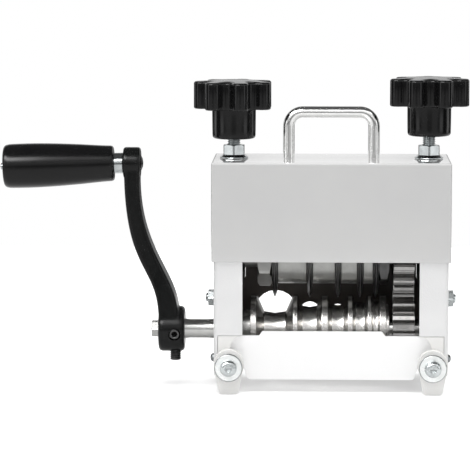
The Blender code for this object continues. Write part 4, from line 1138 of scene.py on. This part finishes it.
def studio_panels(tree, parts):
    """What polished surfaces reflect: panels in front, behind and at both sides."""
    front = ("Y", -2.0, -1.9, -0.35, -0.15)
    behind = ("Y", 0.5, 0.7, 1.9, 2.0)
    side = ("Z", -0.25, -0.15, 0.35, 0.45)
    low = ("Z", -0.3, -0.2, -0.06, 0.0)
    return (
        panel(tree, parts, 1.2, front, ("Z", -0.04, 0.25, 0.7, 0.8)),
        panel(tree, parts, 0.5, front, ("Z", -1.1, -1.0, -0.12, -0.02)),
        panel(tree, parts, 18.0, front, ("Z", 0.46, 0.58, 0.70, 0.78), ("X", -1.1, -1.0, -0.145, -0.06)),
        panel(tree, parts, 1.5, front, ("Z", 0.50, 0.62, 0.70, 0.76), ("X", -0.08, 0.02, 1.0, 1.1)),
        panel(tree, parts, 0.55, behind, ("Z", -0.15, 0.0, 0.07, 0.09)),
        panel(tree, parts, 1.05, behind, ("Z", 0.07, 0.09, 0.3, 0.6)),
        panel(tree, parts, 1.8, ("X", -0.97, -0.94, -0.84, -0.80), side),
        panel(tree, parts, 1.8, ("X", 0.80, 0.84, 0.94, 0.97), side),
        panel(tree, parts, 0.6, front, low, ("X", -0.75, -0.6, -0.3, -0.12)),
        panel(tree, parts, 0.6, front, low, ("X", 0.12, 0.3, 0.6, 0.75)),
    )


def background(tree, strength, level=1.0):
    node = tree.nodes.new("ShaderNodeBackground")
    node.inputs["Color"].default_value = (*grey(level), 1)
    if isinstance(strength, float):
        node.inputs["Strength"].default_value = strength
    else:
        tree.links.new(strength, node.inputs["Strength"])
    return node.outputs["Background"]


def mixed_shader(tree, factor, first, second):
    node = tree.nodes.new("ShaderNodeMixShader")
    for source, socket in zip((factor, first, second), node.inputs):
        tree.links.new(source, socket)
    return node.outputs["Shader"]


def light_world():
    """White to the camera, soft light from the front for diffuse rays, and panels for reflections."""
    world = bpy.data.worlds.new("studio")
    bpy.context.scene.world = world
    world.use_nodes = True
    world.cycles.sampling_method = "NONE"
    tree = world.node_tree
    tree.nodes.clear()
    path = tree.nodes.new("ShaderNodeLightPath")
    direction = tree.nodes.new("ShaderNodeTexCoord")
    split = tree.nodes.new("ShaderNodeSeparateXYZ")
    tree.links.new(direction.outputs["Generated"], split.inputs["Vector"])
    parts = {axis: split.outputs[axis] for axis in "XYZ"}
    upward = arithmetic(tree, "MULTIPLY", step_between(tree, parts["Z"], 0.0, 1.0), DIM_RISE)
    reflected = arithmetic(tree, "ADD", upward, DIM_BASE)
    for bright in studio_panels(tree, parts):
        reflected = arithmetic(tree, "ADD", reflected, bright)
    forward = arithmetic(tree, "MULTIPLY", step_between(tree, parts["Y"], -0.2, -0.9), SOFT_FRONT)
    soft = background(tree, arithmetic(tree, "ADD", forward, SOFT_BASE))
    glossy = background(tree, reflected, PANEL_LEVEL)
    by_gloss = mixed_shader(tree, path.outputs["Is Glossy Ray"], soft, glossy)
    by_camera = mixed_shader(tree, path.outputs["Is Camera Ray"], by_gloss, background(tree, 1.0))
    output = tree.nodes.new("ShaderNodeOutputWorld")
    tree.links.new(by_camera, output.inputs["Surface"])


def soft_box(name, place, size, power):
    """A lamp for diffuse light and shadows only. Reflections come from the world's panels."""
    light = bpy.data.lights.new(name, "AREA")
    light.shape = "RECTANGLE"
    light.size, light.size_y = size
    light.energy = power
    lamp = add_object(name, light)
    lamp.location = place
    lamp.rotation_euler = (LAMP_TARGET - Vector(place)).to_track_quat("-Z", "Y").to_euler()
    lamp.visible_glossy = False


def set_camera():
    """The photo's viewpoint. The focal length is given in pixels of the photo."""
    camera_data = bpy.data.cameras.new("camera")
    camera = add_object("camera", camera_data)
    camera_data.sensor_width = SENSOR_WIDTH
    camera_data.lens = FOCAL_PIXELS * SENSOR_WIDTH / PICTURE_WIDTH
    camera_data.clip_end = CLIP_END
    camera.location = CAMERA_PLACE
    camera.rotation_euler = (CAMERA_AIM - CAMERA_PLACE).to_track_quat("-Z", "Y").to_euler()
    bpy.context.scene.camera = camera


stage_floor()
light_world()
soft_box("overhead", (0.1, -0.1, 1.3), size=(1.4, 1.0), power=25)
soft_box("left", (-1.3, -0.8, 0.5), size=(0.5, 1.2), power=0.6)
soft_box("right", (1.3, -0.8, 0.5), size=(0.5, 1.2), power=0.5)
set_camera()
bpy.context.scene.view_settings.view_transform = "Standard"
